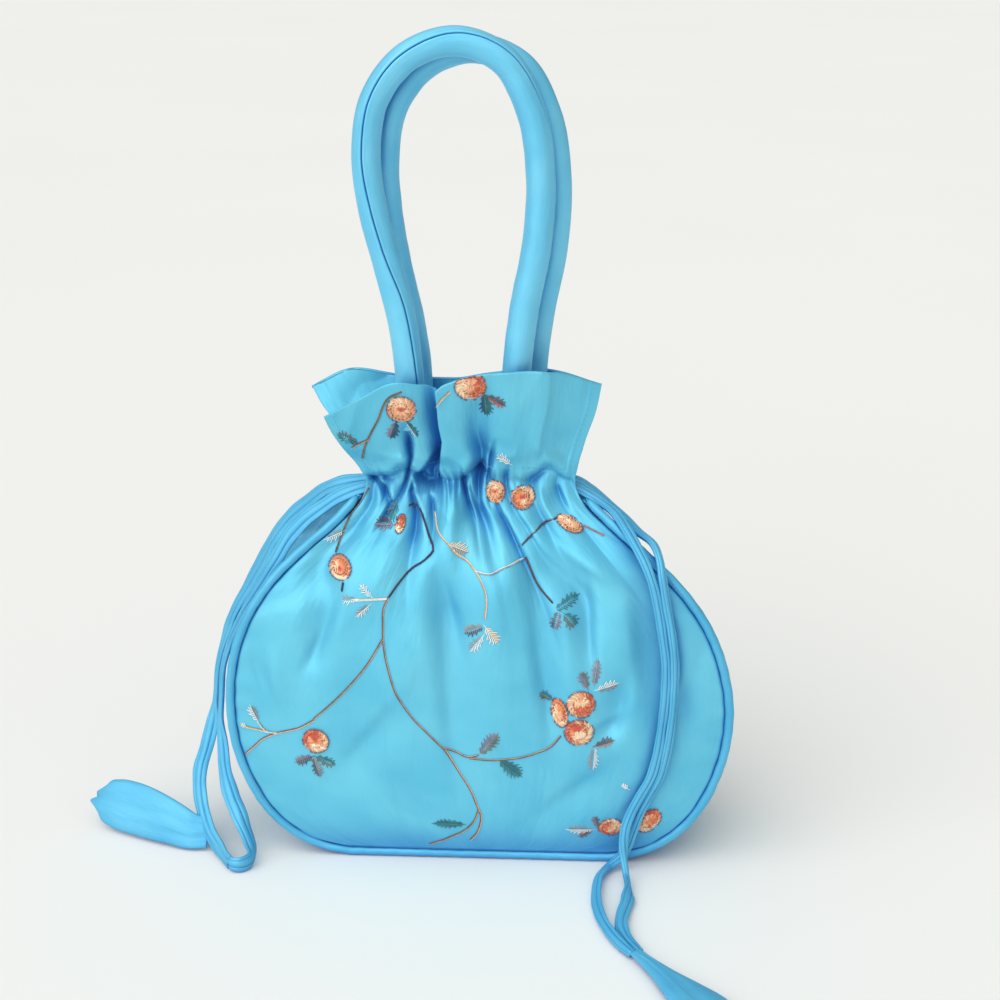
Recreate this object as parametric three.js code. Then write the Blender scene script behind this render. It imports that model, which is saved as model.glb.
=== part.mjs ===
// Satin drawstring pouch with two padded loop handles, standing upright.
// Millimetres, +Z up, the front faces -Y, the origin is on the floor under the middle of the pouch.
import * as THREE from 'three';

// Driving dimensions
const WALL = 1.6;                 // satin with its interlining
const PIPING_RADIUS = 1.75;
const HANDLE_RADIUS = 5.8;
const STRAND_RADIUS = 1.75;       // a flat satin string, taken as round
const SEAM_GAP = 0.4;             // clearance between a panel's edge and its piping
const TUCK_GAP = 0.9;             // more of it where the drawn-in back meets its piping at a slant
const GUSSET_GAP = 0.8;           // clearance between the gusset and the pipings
const FLOOR_CLEAR = 0.35;         // how far the piping stays off the floor
const NECK_HEIGHT = 167;          // middle of the drawn-in channel
const RIM_HEIGHT = 217;           // nominal top of the frill
const CROWN_POWER = 2.5;          // how evenly a panel bulges from seam to seam
const PANEL_COLUMNS = 48;
const BACK_COLUMNS = 36;
const PIPING_STEPS = 44;
const FOOT_STEPS = 6;              // along the straight foot of the seam
const HANDLE_STEPS = 30;
const HANDLE_SIDES = 10;
const STRAND_STEPS = 28;
const CORD_SIDES = 8;              // of the piping and the strings

const FOOT_HEIGHT = FLOOR_CLEAR + 2 * PIPING_RADIUS + SEAM_GAP;   // lower edge of the panels
const FOOT_SWELL = FLOOR_CLEAR + PIPING_RADIUS - WALL / 2;   // brings the gusset's underside to the floor

// One row for each level section of the pouch, from the foot to the rim of the frill.
// half: half width at the side seams; shift: sideways offset; left, right: seam distance from mid-plane;
// front, back: extra bulge at the middle; outL, outR: swell of the gusset on each side;
// tuckX, tuckY: how far the back's right seam is drawn in, sideways and towards the mid-plane.
const SECTIONS = [
  {
    z: FOOT_HEIGHT, half: 57, shift: 0, left: 29, right: 29, front: 0.5, back: 0.5,
    outL: FOOT_SWELL, outR: FOOT_SWELL,
  },
  { z: 7, half: 69.5, shift: 0, left: 29, right: 29, front: 1.5, back: 1.5, outL: 1.4, outR: 1.8 },
  { z: 13.5, half: 81, shift: 0, left: 29.5, right: 29.5, front: 3.5, back: 3.5, outL: 1.4, outR: 4 },
  { z: 24, half: 91, shift: 0, left: 30, right: 30, front: 6, back: 6, outL: 1.4, outR: 5.5 },
  { z: 38, half: 98.5, shift: 0, left: 30, right: 30, front: 8, back: 8, outL: 1.3, outR: 5 },
  { z: 54.5, half: 103.5, shift: 0, left: 30, right: 30, front: 9.5, back: 9.5, outL: 1.2, outR: 2.5 },
  {
    z: 72, half: 105, shift: 0, left: 30, right: 30, front: 10, back: 10, outL: 1.2, outR: 1,
    tuckX: 3, tuckY: 2,
  },
  {
    z: 92, half: 102.5, shift: -0.5, left: 30, right: 30, front: 10, back: 10, outL: 0.5, outR: 0.5,
    tuckX: 7.5, tuckY: 7,
  },
  {
    z: 110, half: 96, shift: -1, left: 29, right: 29, front: 9.5, back: 9.5, outL: -1, outR: 0,
    tuckX: 11, tuckY: 14,
  },
  {
    z: 126, half: 85.3, shift: -1.7, left: 27, right: 27, front: 9, back: 9, outL: -1.5, outR: 0,
    tuckX: 12.5, tuckY: 20,
  },
  {
    z: 140, half: 70.8, shift: -2.2, left: 23, right: 23, front: 8, back: 8, outL: -1, outR: 0,
    tuckX: 11, tuckY: 19,
  },
  {
    z: 151, half: 57, shift: -2.5, left: 17, right: 17, front: 7, back: 7, outL: -1.5, outR: -1,
    tuckX: 8, tuckY: 12,
  },
  {
    z: 160, half: 47, shift: -3.5, left: 11, right: 11, front: 6, back: 6, outL: -3, outR: -3,
    tuckX: 6, tuckY: 4.5,
  },
  { z: NECK_HEIGHT, half: 44, shift: -4.2, left: 8, right: 8, front: 5.5, back: 5.5, tuckX: 3, tuckY: 0.5 },
  { z: 176, half: 45.5, shift: -4.8, left: 9, right: 7.5, front: 7, back: 6.5 },
  { z: 190, half: 50, shift: -6, left: 12.5, right: 7, front: 10, back: 8 },
  { z: 204, half: 54.5, shift: -6.5, left: 17, right: 5.5, front: 12, back: 8 },
  { z: RIM_HEIGHT, half: 57, shift: -6.8, left: 20, right: 4.5, front: 13, back: 7 },
];
const SEAM_TOP_ROW = 12;          // last section that the gusset and the piping reach

// How far the rim of each frill rises above or drops below its nominal height, across the panel
const FRONT_RIM = [
  { at: -1, rise: -17.5 }, { at: -0.75, rise: -9 }, { at: -0.45, rise: -1.5 }, { at: -0.05, rise: -0.5 },
  { at: 0.3, rise: 3 }, { at: 0.6, rise: 3.5 }, { at: 1, rise: -4.5 },
];
const BACK_RIM = [
  { at: -1, rise: -16 }, { at: -0.8, rise: -9 }, { at: -0.4, rise: -11 }, { at: -0.1, rise: -11 },
  { at: 0.2, rise: -8 }, { at: 0.6, rise: -4 }, { at: 1, rise: -5 },
];

// Gathers drawn in by the channel. at: place across the panel; wide: half width there;
// deep: depth at the neck; above, below: how far the fold runs from the neck.
const FRONT_FOLDS = [
  { at: -0.88, wide: 0.08, deep: 2.5, above: 16, below: 40 },
  { at: -0.63, wide: 0.07, deep: 4, above: 40, below: 34 },
  { at: -0.28, wide: 0.075, deep: 6, above: 62, below: 40 },
  { at: -0.1, wide: 0.06, deep: 3.5, above: 14, below: 48 },
  { at: 0.1, wide: 0.075, deep: 5.5, above: 44, below: 32 },
  { at: 0.27, wide: 0.06, deep: 3.5, above: 16, below: 62 },
  { at: 0.52, wide: 0.08, deep: 4, above: 15, below: 66 },
  { at: 0.78, wide: 0.08, deep: 3, above: 12, below: 46 },
];
const BACK_FOLDS = [
  { at: -0.8, wide: 0.09, deep: 3, above: 30, below: 45 },
  { at: -0.55, wide: 0.08, deep: 4, above: 16, below: 50 },
  { at: -0.15, wide: 0.09, deep: 5, above: 40, below: 55 },
  { at: 0.1, wide: 0.08, deep: 4, above: 30, below: 40 },
  { at: 0.3, wide: 0.08, deep: 4, above: 16, below: 60 },
  { at: 0.75, wide: 0.09, deep: 3, above: 14, below: 45 },
];

// Finishes
const satin = (color) => new THREE.MeshStandardMaterial({ color, roughness: 0.42, metalness: 0 });
const PANEL_BLUE = satin(0x5fc0e6);
const GUSSET_BLUE = satin(0x4fb2de);
const PIPING_BLUE = satin(0x4aa9d8);
const HANDLE_BLUE = satin(0x66c2e8);
const STRAND_BLUE = satin(0x55b6e2);

const lerp = THREE.MathUtils.lerp;
const clamp = THREE.MathUtils.clamp;
const vec = (x, y, z) => new THREE.Vector3(x, y, z);

// Straight interpolation in a table of { at, rise } rows
function riseAt(table, s) {
  const k = clamp(table.findIndex((row) => row.at >= s), 1, table.length - 1);
  const [a, b] = [table[k - 1], table[k]];
  return lerp(a.rise, b.rise, clamp((s - a.at) / (b.at - a.at), 0, 1));
}

// Depth of all gathers at one place: each is a smooth valley that fades away from the neck
function foldDepth(folds, s, z) {
  let depth = 0;
  for (const fold of folds) {
    const away = z > NECK_HEIGHT ? (z - NECK_HEIGHT) / fold.above : (NECK_HEIGHT - z) / fold.below;
    const fade = 1 - THREE.MathUtils.smoothstep(away, 0.1, 1);
    depth += fold.deep * fade * Math.exp(-(((s - fold.at) / fold.wide) ** 2));
  }
  return depth;
}

// A point of a panel's middle surface: s runs from the left seam, -1, to the right seam, 1
function panelPoint(face, s, row) {
  const across = (s + 1) / 2;
  const seam = lerp(row.left, row.right - face.tucked * (row.tuckY ?? 0), across);
  const bulge = row[face.bulge] * (1 - Math.abs(s) ** CROWN_POWER);
  const depth = seam + bulge - foldDepth(face.folds, s, row.z);
  const climb = clamp((row.z - NECK_HEIGHT) / (RIM_HEIGHT - NECK_HEIGHT), 0, 1);
  const spread = face.spread * climb * clamp(-s, 0, 1);
  const tuck = face.tucked * (row.tuckX ?? 0) * clamp(s, 0, 1) ** 2;
  const x = row.shift + row.half * s - spread - tuck;
  return vec(x, face.sign * depth, row.z + climb * riseAt(face.rim, s));
}

// Closed wall around a grid of middle points, half its thickness to each side along the grid's normals
function wallFromGrid(grid, thickness) {
  const rows = grid.length;
  const columns = grid[0].length;
  const point = (i, j) => grid[clamp(i, 0, rows - 1)][clamp(j, 0, columns - 1)];
  const normalAt = (i, j) => {
    const along = point(i + 1, j).clone().sub(point(i - 1, j));
    const across = point(i, j + 1).clone().sub(point(i, j - 1));
    return across.cross(along).normalize();
  };
  const positions = [];
  for (const side of [0.5, -0.5]) {
    for (let i = 0; i < rows; i += 1) {
      for (let j = 0; j < columns; j += 1) {
        positions.push(...point(i, j).clone().addScaledVector(normalAt(i, j), side * thickness).toArray());
      }
    }
  }
  const inner = rows * columns;
  const id = (i, j) => i * columns + j;
  const triangles = [];
  const quad = (a, b, c, d) => triangles.push(a, b, c, a, c, d);
  for (let i = 0; i + 1 < rows; i += 1) {
    for (let j = 0; j + 1 < columns; j += 1) {
      const [a, b, c, d] = [id(i, j), id(i, j + 1), id(i + 1, j + 1), id(i + 1, j)];
      quad(a, b, c, d);
      quad(inner + d, inner + c, inner + b, inner + a);
    }
  }
  const border = [];
  for (let j = 0; j + 1 < columns; j += 1) border.push(id(0, j));
  for (let i = 0; i + 1 < rows; i += 1) border.push(id(i, columns - 1));
  for (let j = columns - 1; j > 0; j -= 1) border.push(id(rows - 1, j));
  for (let i = rows - 1; i > 0; i -= 1) border.push(id(i, 0));
  border.forEach((a, k) => {
    const b = border[(k + 1) % border.length];
    quad(b, a, inner + a, inner + b);
  });
  return closedGeometry(positions, triangles);
}

function closedGeometry(positions, triangles) {
  const geometry = new THREE.BufferGeometry();
  geometry.setAttribute('position', new THREE.Float32BufferAttribute(positions, 3));
  geometry.setIndex(triangles);
  geometry.computeVertexNormals();
  return geometry;
}

// Front and back panels: body, gathered channel and frill in one piece of cloth each.
// spread: how far the frill's left tip flares out; tucked: 1 where the right seam is drawn in.
const FRONT = {
  sign: -1, bulge: 'front', folds: FRONT_FOLDS, rim: FRONT_RIM, spread: 0, tucked: 0, columns: PANEL_COLUMNS,
};
const BACK = {
  sign: 1, bulge: 'back', folds: BACK_FOLDS, rim: BACK_RIM, spread: 9, tucked: 1, columns: BACK_COLUMNS,
};

function panelGeometry(face) {
  const grid = SECTIONS.map((row) => {
    const line = [];
    for (let j = 0; j <= face.columns; j += 1) line.push(panelPoint(face, -1 + (2 * j) / face.columns, row));
    return face.sign < 0 ? line : line.reverse();
  });
  return wallFromGrid(grid, WALL);
}

// Stations round the U-shaped seam: down the left side, along the foot and up the right side
function seamStations(face) {
  const sideRows = SECTIONS.slice(0, SEAM_TOP_ROW + 1);
  const foot = SECTIONS[0];
  const stations = [...sideRows].reverse().map((row) => {
    return { at: panelPoint(face, -1, row), swell: row.outL, gap: SEAM_GAP };
  });
  for (let k = 1; k < FOOT_STEPS; k += 1) {
    stations.push({ at: panelPoint(face, -1 + (2 * k) / FOOT_STEPS, foot), swell: foot.outL, gap: SEAM_GAP });
  }
  sideRows.forEach((row) => {
    const gap = SEAM_GAP + (face.tucked && row.tuckX ? TUCK_GAP : 0);
    stations.push({ at: panelPoint(face, 1, row), swell: row.outR, gap });
  });
  stations.forEach((station, k) => {
    const before = stations[Math.max(k - 1, 0)].at;
    const after = stations[Math.min(k + 1, stations.length - 1)].at;
    const along = after.clone().sub(before).normalize();
    station.out = vec(along.z, 0, -along.x).normalize();
    station.inward = along.clone().cross(station.out).normalize();
    if (station.inward.y * face.sign > 0) station.inward.negate();
    station.cord = station.at.clone().addScaledVector(station.out, PIPING_RADIUS + station.gap);
  });
  return stations;
}

// Round section for tubes
function disc(radius, sides) {
  const shape = new THREE.Shape();
  for (let k = 0; k < sides; k += 1) {
    const turn = (2 * Math.PI * k) / sides;
    const [x, y] = [radius * Math.cos(turn), radius * Math.sin(turn)];
    if (k === 0) shape.moveTo(x, y);
    else shape.lineTo(x, y);
  }
  return shape;
}

function tube(points, radius, sides, steps) {
  const extrudePath = new THREE.CatmullRomCurve3(points, false, 'centripetal');
  return new THREE.ExtrudeGeometry(disc(radius, sides), { steps, extrudePath });
}

function pipingGeometry(face) {
  const route = seamStations(face).map((station) => station.cord);
  return tube(route, PIPING_RADIUS, CORD_SIDES, PIPING_STEPS);
}

// Strip between the two pipings: flat underneath, where the pouch stands, and swelling a little at the sides
function gussetGeometry() {
  const front = seamStations(FRONT);
  const back = seamStations(BACK);
  const ACROSS = [
    { q: 0, swell: 0 }, { q: 0.14, swell: 0.65 }, { q: 0.3, swell: 1 },
    { q: 0.7, swell: 1 }, { q: 0.86, swell: 0.65 }, { q: 1, swell: 0 },
  ];
  const inset = PIPING_RADIUS + GUSSET_GAP;
  const grid = front.map((station, k) => {
    const near = station.cord.clone().addScaledVector(station.inward, inset);
    const far = back[k].cord.clone().addScaledVector(back[k].inward, inset);
    return ACROSS.map(({ q, swell }) => {
      return near.clone().lerp(far, q).addScaledVector(station.out, swell * station.swell);
    });
  });
  return wallFromGrid(grid, WALL);
}

// Middle line of a handle loop, from its left end inside the frill over the top to its right end.
// lean: 0 at the sewn ends, 1 at the top, where the two loops come together;
// aside: how much further right the back loop lies there.
const HANDLE_LOOP = [
  { x: -28.5, z: 193, lean: 0, aside: 1 }, { x: -29, z: 214, lean: 0.1, aside: 1 },
  { x: -31.5, z: 236, lean: 0.3, aside: 1 }, { x: -37.5, z: 261, lean: 0.5, aside: 2 },
  { x: -43.5, z: 284, lean: 0.7, aside: 4.5 }, { x: -45.8, z: 306, lean: 0.85, aside: 6 },
  { x: -42, z: 327, lean: 1, aside: 6.5 }, { x: -28, z: 344, lean: 1, aside: 6.5 },
  { x: -8.7, z: 349.8, lean: 1, aside: 6.5 }, { x: 9, z: 343, lean: 1, aside: 6.5 },
  { x: 20, z: 324, lean: 1, aside: 6.5 }, { x: 24.3, z: 298, lean: 0.85, aside: 6.5 },
  { x: 23, z: 270, lean: 0.6, aside: 6.5 }, { x: 18, z: 242, lean: 0.35, aside: 6.5 },
  { x: 15.2, z: 216, lean: 0.1, aside: 6.5 }, { x: 15, z: 193, lean: 0, aside: 6.5 },
];
const HANDLE_MEET = HANDLE_RADIUS + 0.25;   // distance of each loop's top from the mid-plane
const HANDLE_SEWN = 193;                    // height of the sewn ends
const HANDLE_FREE = 260;                    // height from which a loop's whole drop shows

// seatL, seatR: distance of the two sewn ends from the mid-plane; aside: share of the sideways offset;
// dz: how much higher the free part of the loop stands
const FRONT_HANDLE = { sign: -1, seatL: 13.9, seatR: 10.4, aside: 0, dz: 0 };
const BACK_HANDLE = { sign: 1, seatL: 12.7, seatR: 7, aside: 1, dz: -4 };

function handleGeometry(handle) {
  const points = HANDLE_LOOP.map(({ x, z, lean, aside }, k) => {
    const seat = k < HANDLE_LOOP.length / 2 ? handle.seatL : handle.seatR;
    const drop = THREE.MathUtils.smoothstep(z, HANDLE_SEWN, HANDLE_FREE) * handle.dz;
    return vec(x + handle.aside * aside, handle.sign * lerp(seat, HANDLE_MEET, lean), z + drop);
  });
  return tube(points, HANDLE_RADIUS, HANDLE_SIDES, HANDLE_STEPS);
}

// Routes of the four free strings, as [x, y, z], each from its side slit to the floor.
// The left pair ends in one floor loop with its leaf-shaped end beside it; the right pair enters its leaf.
const LEFT_OUTER = [
  [-46, 3.2, 164.6], [-54.5, 3.6, 163.6], [-61.9, 4, 162], [-69.2, 6, 158.3], [-76.6, 8, 152],
  [-84.3, 9, 145], [-91.9, 9, 135.2], [-97.6, 9, 124.8], [-103.5, 9, 113.9], [-112, 8.5, 98.4],
  [-117.3, 8, 83], [-119.9, 7, 71.6], [-120.9, 5.5, 60.7], [-122.2, 2.5, 49.5], [-124.6, -3, 38],
  [-126.8, -9, 29.5], [-126, -15.5, 22], [-123.4, -22, 15], [-120.6, -27, 9.5], [-116.5, -32.5, 5.4],
  [-112.6, -38.2, 3.2], [-109.9, -42.4, 2.3], [-108, -45.2, 2.2],
];
const LEFT_INNER = [
  [-46, -3.2, 164.2], [-53.5, -4.5, 162.6], [-60.6, -6, 160], [-67.2, -9, 156.2], [-73.9, -12, 151.8],
  [-80.6, -15, 145.3], [-86.7, -18, 135.5], [-94.2, -18, 123.4], [-102.6, -16, 109], [-110.6, -11, 91.5],
  [-114.2, -8, 78.7], [-115.5, -8, 66], [-116.2, -9.5, 54], [-115.2, -12.5, 44], [-113.3, -18.5, 32.5],
  [-109.8, -24, 24.1], [-106.4, -28, 18.6], [-103.2, -32, 13], [-100.6, -35.5, 8], [-99, -39, 4.2],
  [-99, -42.6, 2.4], [-100.6, -46, 2.2], [-103.4, -47.8, 2.2], [-106.1, -47.3, 2.2], [-107.75, -45.6, 2.2],
];
const RIGHT_OUTER = [
  [36, 3.2, 166], [41, 3, 165.1], [46, 2.4, 162.3], [51.3, 1, 158.6], [56.8, -2.5, 154.8],
  [62, -7.5, 152], [67, -13.3, 148.6], [73.2, -21.2, 146], [75.9, -28.4, 141.2], [77, -32.4, 135.6],
  [78.1, -33.9, 129.4], [79.3, -35.2, 123], [81.7, -37.2, 110.3], [83, -38.2, 99.7], [83.1, -38.8, 85.5],
  [82.2, -39, 70], [80.4, -38.8, 56], [78, -38.2, 45.5], [73.7, -37.7, 36.5], [69.9, -37, 28],
  [67.4, -36.5, 20], [65.3, -36, 12], [61.5, -35.8, 5], [57.2, -38.2, 2.2], [53.6, -45, 2.2],
  [51.8, -57.5, 2.2], [52.2, -72, 2.2], [56.1, -87.8, 2.2], [61.3, -99.1, 2.2], [66.3, -107.2, 2.4],
];
const RIGHT_INNER = [
  [36, -3.2, 165], [41, -3.4, 164.1], [46, -4.6, 161.9], [51.2, -7.8, 159.6], [56.8, -13.6, 157.1],
  [61.7, -21.6, 152.6], [65.9, -27, 147], [69.6, -31, 141], [72.9, -33.8, 133], [75.4, -35.2, 122.9],
  [77.6, -37.2, 110.4], [79.2, -38.2, 99.5], [79.3, -38.9, 85.5], [78.2, -39.1, 70], [76.4, -39.2, 56],
  [73.8, -39, 45.6], [69.6, -39, 37], [66, -39.6, 29.3], [63.8, -40.6, 22.4], [63.2, -42, 15],
  [63.8, -44, 8.5], [64.8, -48, 3.4], [65.5, -57, 2.2], [65, -66, 2.2], [63, -76, 2.2],
  [62.2, -86, 2.2], [64.2, -94.3, 2.2], [69.4, -105, 2.4],
];

const strandGeometry = (route) => tube(route.map((p) => vec(...p)), STRAND_RADIUS, CORD_SIDES, STRAND_STEPS);

// Leaf-shaped satin end: sections along its length with a lens outline.
// at: share of the length; left, right: full width of each leaf there; thick: full thickness there.
const LEAF_SECTIONS = [
  { at: 0, left: 14, right: 5.5, thick: 4 }, { at: 0.12, left: 16, right: 6.5, thick: 4.2 },
  { at: 0.3, left: 19.5, right: 10, thick: 4.8 }, { at: 0.5, left: 22, right: 16, thick: 5.2 },
  { at: 0.7, left: 23, right: 21, thick: 5.2 }, { at: 0.85, left: 21.5, right: 20.5, thick: 4.6 },
  { at: 0.96, left: 14, right: 14, thick: 3 }, { at: 1, left: 8, right: 8, thick: 1.6 },
];
const LEAF_SIDES = 12;

// side: which leaf; middle: points along it from root to tip; broad: direction of its width
function leafGeometry(side, middle, broad) {
  const line = new THREE.CatmullRomCurve3(middle.map((p) => vec(...p)));
  const positions = [];
  LEAF_SECTIONS.forEach((section) => {
    const { at, thick } = section;
    const centre = line.getPoint(at);
    const along = line.getTangent(at);
    const across = broad.clone().addScaledVector(along, -broad.dot(along)).normalize();
    const through = along.clone().cross(across);
    for (let k = 0; k < LEAF_SIDES; k += 1) {
      const turn = (2 * Math.PI * k) / LEAF_SIDES;
      const rim = centre.clone().addScaledVector(across, (section[side] / 2) * Math.cos(turn));
      positions.push(...rim.addScaledVector(through, (thick / 2) * Math.sin(turn)).toArray());
    }
  });
  const triangles = [];
  const last = (LEAF_SECTIONS.length - 1) * LEAF_SIDES;
  for (let ring = 0; ring < last; ring += LEAF_SIDES) {
    for (let k = 0; k < LEAF_SIDES; k += 1) {
      const [a, b] = [ring + k, ring + ((k + 1) % LEAF_SIDES)];
      triangles.push(a, b, b + LEAF_SIDES, a, b + LEAF_SIDES, a + LEAF_SIDES);
    }
  }
  for (let k = 1; k + 1 < LEAF_SIDES; k += 1) {
    triangles.push(0, k + 1, k, last, last + k, last + k + 1);
  }
  return closedGeometry(positions, triangles);
}

// The left leaf leans on its edge, the right one lies flat
const LEFT_LEAF = [
  [-125.7, -28.2, 7.7], [-138, -22.8, 10], [-156, -14.5, 12], [-168, -9.5, 12.5], [-175, -6.5, 12.5],
];
const RIGHT_LEAF = [[67.8, -106.9, 3.2], [80, -125, 3.2], [92.5, -143, 3.2], [104, -159, 3]];
const LEANING = vec(0, 0.5, 0.87);
const LYING = vec(0.71, 0.7, 0);

const part = new THREE.Group();
function addPiece(name, geometry, material) {
  const mesh = new THREE.Mesh(geometry, material);
  mesh.name = name;
  part.add(mesh);
}

addPiece('front_panel', panelGeometry(FRONT), PANEL_BLUE);
addPiece('back_panel', panelGeometry(BACK), PANEL_BLUE);
addPiece('gusset', gussetGeometry(), GUSSET_BLUE);
addPiece('front_piping', pipingGeometry(FRONT), PIPING_BLUE);
addPiece('back_piping', pipingGeometry(BACK), PIPING_BLUE);
addPiece('front_handle', handleGeometry(FRONT_HANDLE), HANDLE_BLUE);
addPiece('back_handle', handleGeometry(BACK_HANDLE), HANDLE_BLUE);
addPiece('left_strand_outer', strandGeometry(LEFT_OUTER), STRAND_BLUE);
addPiece('left_strand_inner', strandGeometry(LEFT_INNER), STRAND_BLUE);
addPiece('right_strand_outer', strandGeometry(RIGHT_OUTER), STRAND_BLUE);
addPiece('right_strand_inner', strandGeometry(RIGHT_INNER), STRAND_BLUE);
addPiece('left_leaf_end', leafGeometry('left', LEFT_LEAF, LEANING), STRAND_BLUE);
addPiece('right_leaf_end', leafGeometry('right', RIGHT_LEAF, LYING), STRAND_BLUE);

export default part;
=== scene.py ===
# %% [markdown]
# # A satin drawstring pouch, piece by piece
#
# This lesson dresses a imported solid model: a small evening pouch of blue satin, with a gathered neck,
# a frilled mouth, two padded handles, loose strings and an embroidered front.
# The solids fix the sizes. Each piece below is a surface worked out with numpy, laid where its solid is.

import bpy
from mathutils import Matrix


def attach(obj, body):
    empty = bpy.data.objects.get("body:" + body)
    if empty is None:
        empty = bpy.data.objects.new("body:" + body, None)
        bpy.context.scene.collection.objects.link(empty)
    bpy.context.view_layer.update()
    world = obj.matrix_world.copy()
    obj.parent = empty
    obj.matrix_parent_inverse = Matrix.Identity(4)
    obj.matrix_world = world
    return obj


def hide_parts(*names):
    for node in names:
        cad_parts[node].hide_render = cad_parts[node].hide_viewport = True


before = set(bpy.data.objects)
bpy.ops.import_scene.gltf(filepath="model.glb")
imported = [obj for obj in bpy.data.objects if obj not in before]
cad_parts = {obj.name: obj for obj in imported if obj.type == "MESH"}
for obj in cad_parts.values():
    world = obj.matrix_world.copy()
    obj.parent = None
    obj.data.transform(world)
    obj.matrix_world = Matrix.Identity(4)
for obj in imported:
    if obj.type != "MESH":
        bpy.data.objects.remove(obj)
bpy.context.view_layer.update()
print("solids:", sorted(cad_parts))

# %% modules and units
import math

import bpy
import numpy as np
from mathutils import Vector

MM = 0.001
scene = bpy.context.scene
scene.view_settings.view_transform = "Standard"

# %% [markdown]
# ## Camera
#
# The photograph looks slightly down on the pouch and a little from its right.
# A long lens far away would flatten it, and a short one would swell the belly, so the focal length was
# fitted together with the distance. Depth of field stays off and the frame isn't shifted.

# %% camera
AZIMUTH = math.radians(3)
ELEVATION = math.radians(19)
DISTANCE = 0.820
AIM = Vector((0.00775, 0, 0.157))
FOCAL_LENGTH = 1.9122          # in widths of the picture
SENSOR = 36.0

towards_camera = Vector((
    math.sin(AZIMUTH) * math.cos(ELEVATION),
    -math.cos(AZIMUTH) * math.cos(ELEVATION),
    math.sin(ELEVATION),
))
camera = bpy.data.objects.new("camera", bpy.data.cameras.new("camera"))
camera.data.sensor_width = SENSOR
camera.data.lens = SENSOR * FOCAL_LENGTH
camera.location = AIM + towards_camera * DISTANCE
camera.rotation_euler = (-towards_camera).to_track_quat("-Z", "Y").to_euler()
scene.collection.objects.link(camera)
scene.camera = camera
print("camera stands at", [round(v, 4) for v in camera.location])

# %% [markdown]
# ## Curves and grids
#
# Nearly everything here is either a grid of points, such as a cloth panel, or a section carried along
# a path, such as a handle. Two helpers make smooth curves through a few chosen points, and two more turn
# arrays of points into meshes. Each mesh keeps a cloth map in metres, so a weave can follow the cloth.

# %% curve helpers
def unit(vectors):
    """Each vector divided by its own length."""
    return vectors / np.maximum(np.linalg.norm(vectors, axis=-1, keepdims=True), 1e-12)


def smoothstep(x, low, high):
    """0 below low, 1 above high, and an S-shaped cubic between them."""
    t = np.clip((x - low) / (high - low), 0, 1)
    return t * t * (3 - 2 * t)


def band(x, low, full, fade, high):
    """0 outside low and high, 1 between full and fade, and S-shaped in between."""
    return smoothstep(x, low, full) * (1 - smoothstep(x, fade, high))


def smooth(at, knots, values):
    """A smooth curve through values at rising knots, read at the places in at.
    Each stretch is a cubic whose slope at a knot is the mean slope around that knot."""
    knots = np.asarray(knots, float)
    values = np.asarray(values, float)
    slopes = np.gradient(values, knots)
    k = np.clip(np.searchsorted(knots, at) - 1, 0, len(knots) - 2)
    width = knots[k + 1] - knots[k]
    t = np.clip((at - knots[k]) / width, 0, 1)
    ends = (1 - t) ** 2 * (1 + 2 * t) * values[k] + t * t * (3 - 2 * t) * values[k + 1]
    return ends + width * ((t - 2 * t * t + t ** 3) * slopes[k] + (t ** 3 - t * t) * slopes[k + 1])


def run_of(points):
    """Distance along a line of points from its first one."""
    steps = np.linalg.norm(np.diff(points, axis=0), axis=1)
    return np.concatenate([[0], np.cumsum(steps)])


def read_line(points, run, at):
    """Points of a line at the distances at, when run gives each of its points' own distance."""
    return np.stack([np.interp(at, run, axis) for axis in points.T], 1)


def smooth_path(points, count):
    """count evenly spaced points on the smooth curve through the given ones."""
    points = np.asarray(points, float)
    knots = run_of(points)
    fine = np.linspace(0, knots[-1], 12 * count)
    curve = np.stack([smooth(fine, knots, axis) for axis in points.T], 1)
    run = run_of(curve)
    return read_line(curve, run, np.linspace(0, run[-1], count))


def mix_table(at, table):
    """Vectors or numbers of a table of (place, value) rows, mixed between rows with a smooth step."""
    places = np.array([row[0] for row in table], float)
    values = np.array([row[1] for row in table], float)
    k = np.clip(np.searchsorted(places, at) - 1, 0, len(places) - 2)
    t = smoothstep((at - places[k]) / (places[k + 1] - places[k]), 0, 1)
    if values.ndim > 1:
        t = t[:, None]
    return values[k] * (1 - t) + values[k + 1] * t

# %% mesh helpers
def grid_faces(rows, columns, wrap=False):
    """Corner numbers of a grid's four-sided faces, with the row and the column of each corner.
    wrap joins the last column to the first."""
    i, j = np.meshgrid(np.arange(rows - 1), np.arange(columns - (not wrap)), indexing="ij")
    row = np.stack([i, i, i + 1, i + 1], -1).reshape(-1, 4)
    column = np.stack([j, j + 1, j + 1, j], -1).reshape(-1, 4)
    return row * columns + column % columns, row, column


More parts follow.
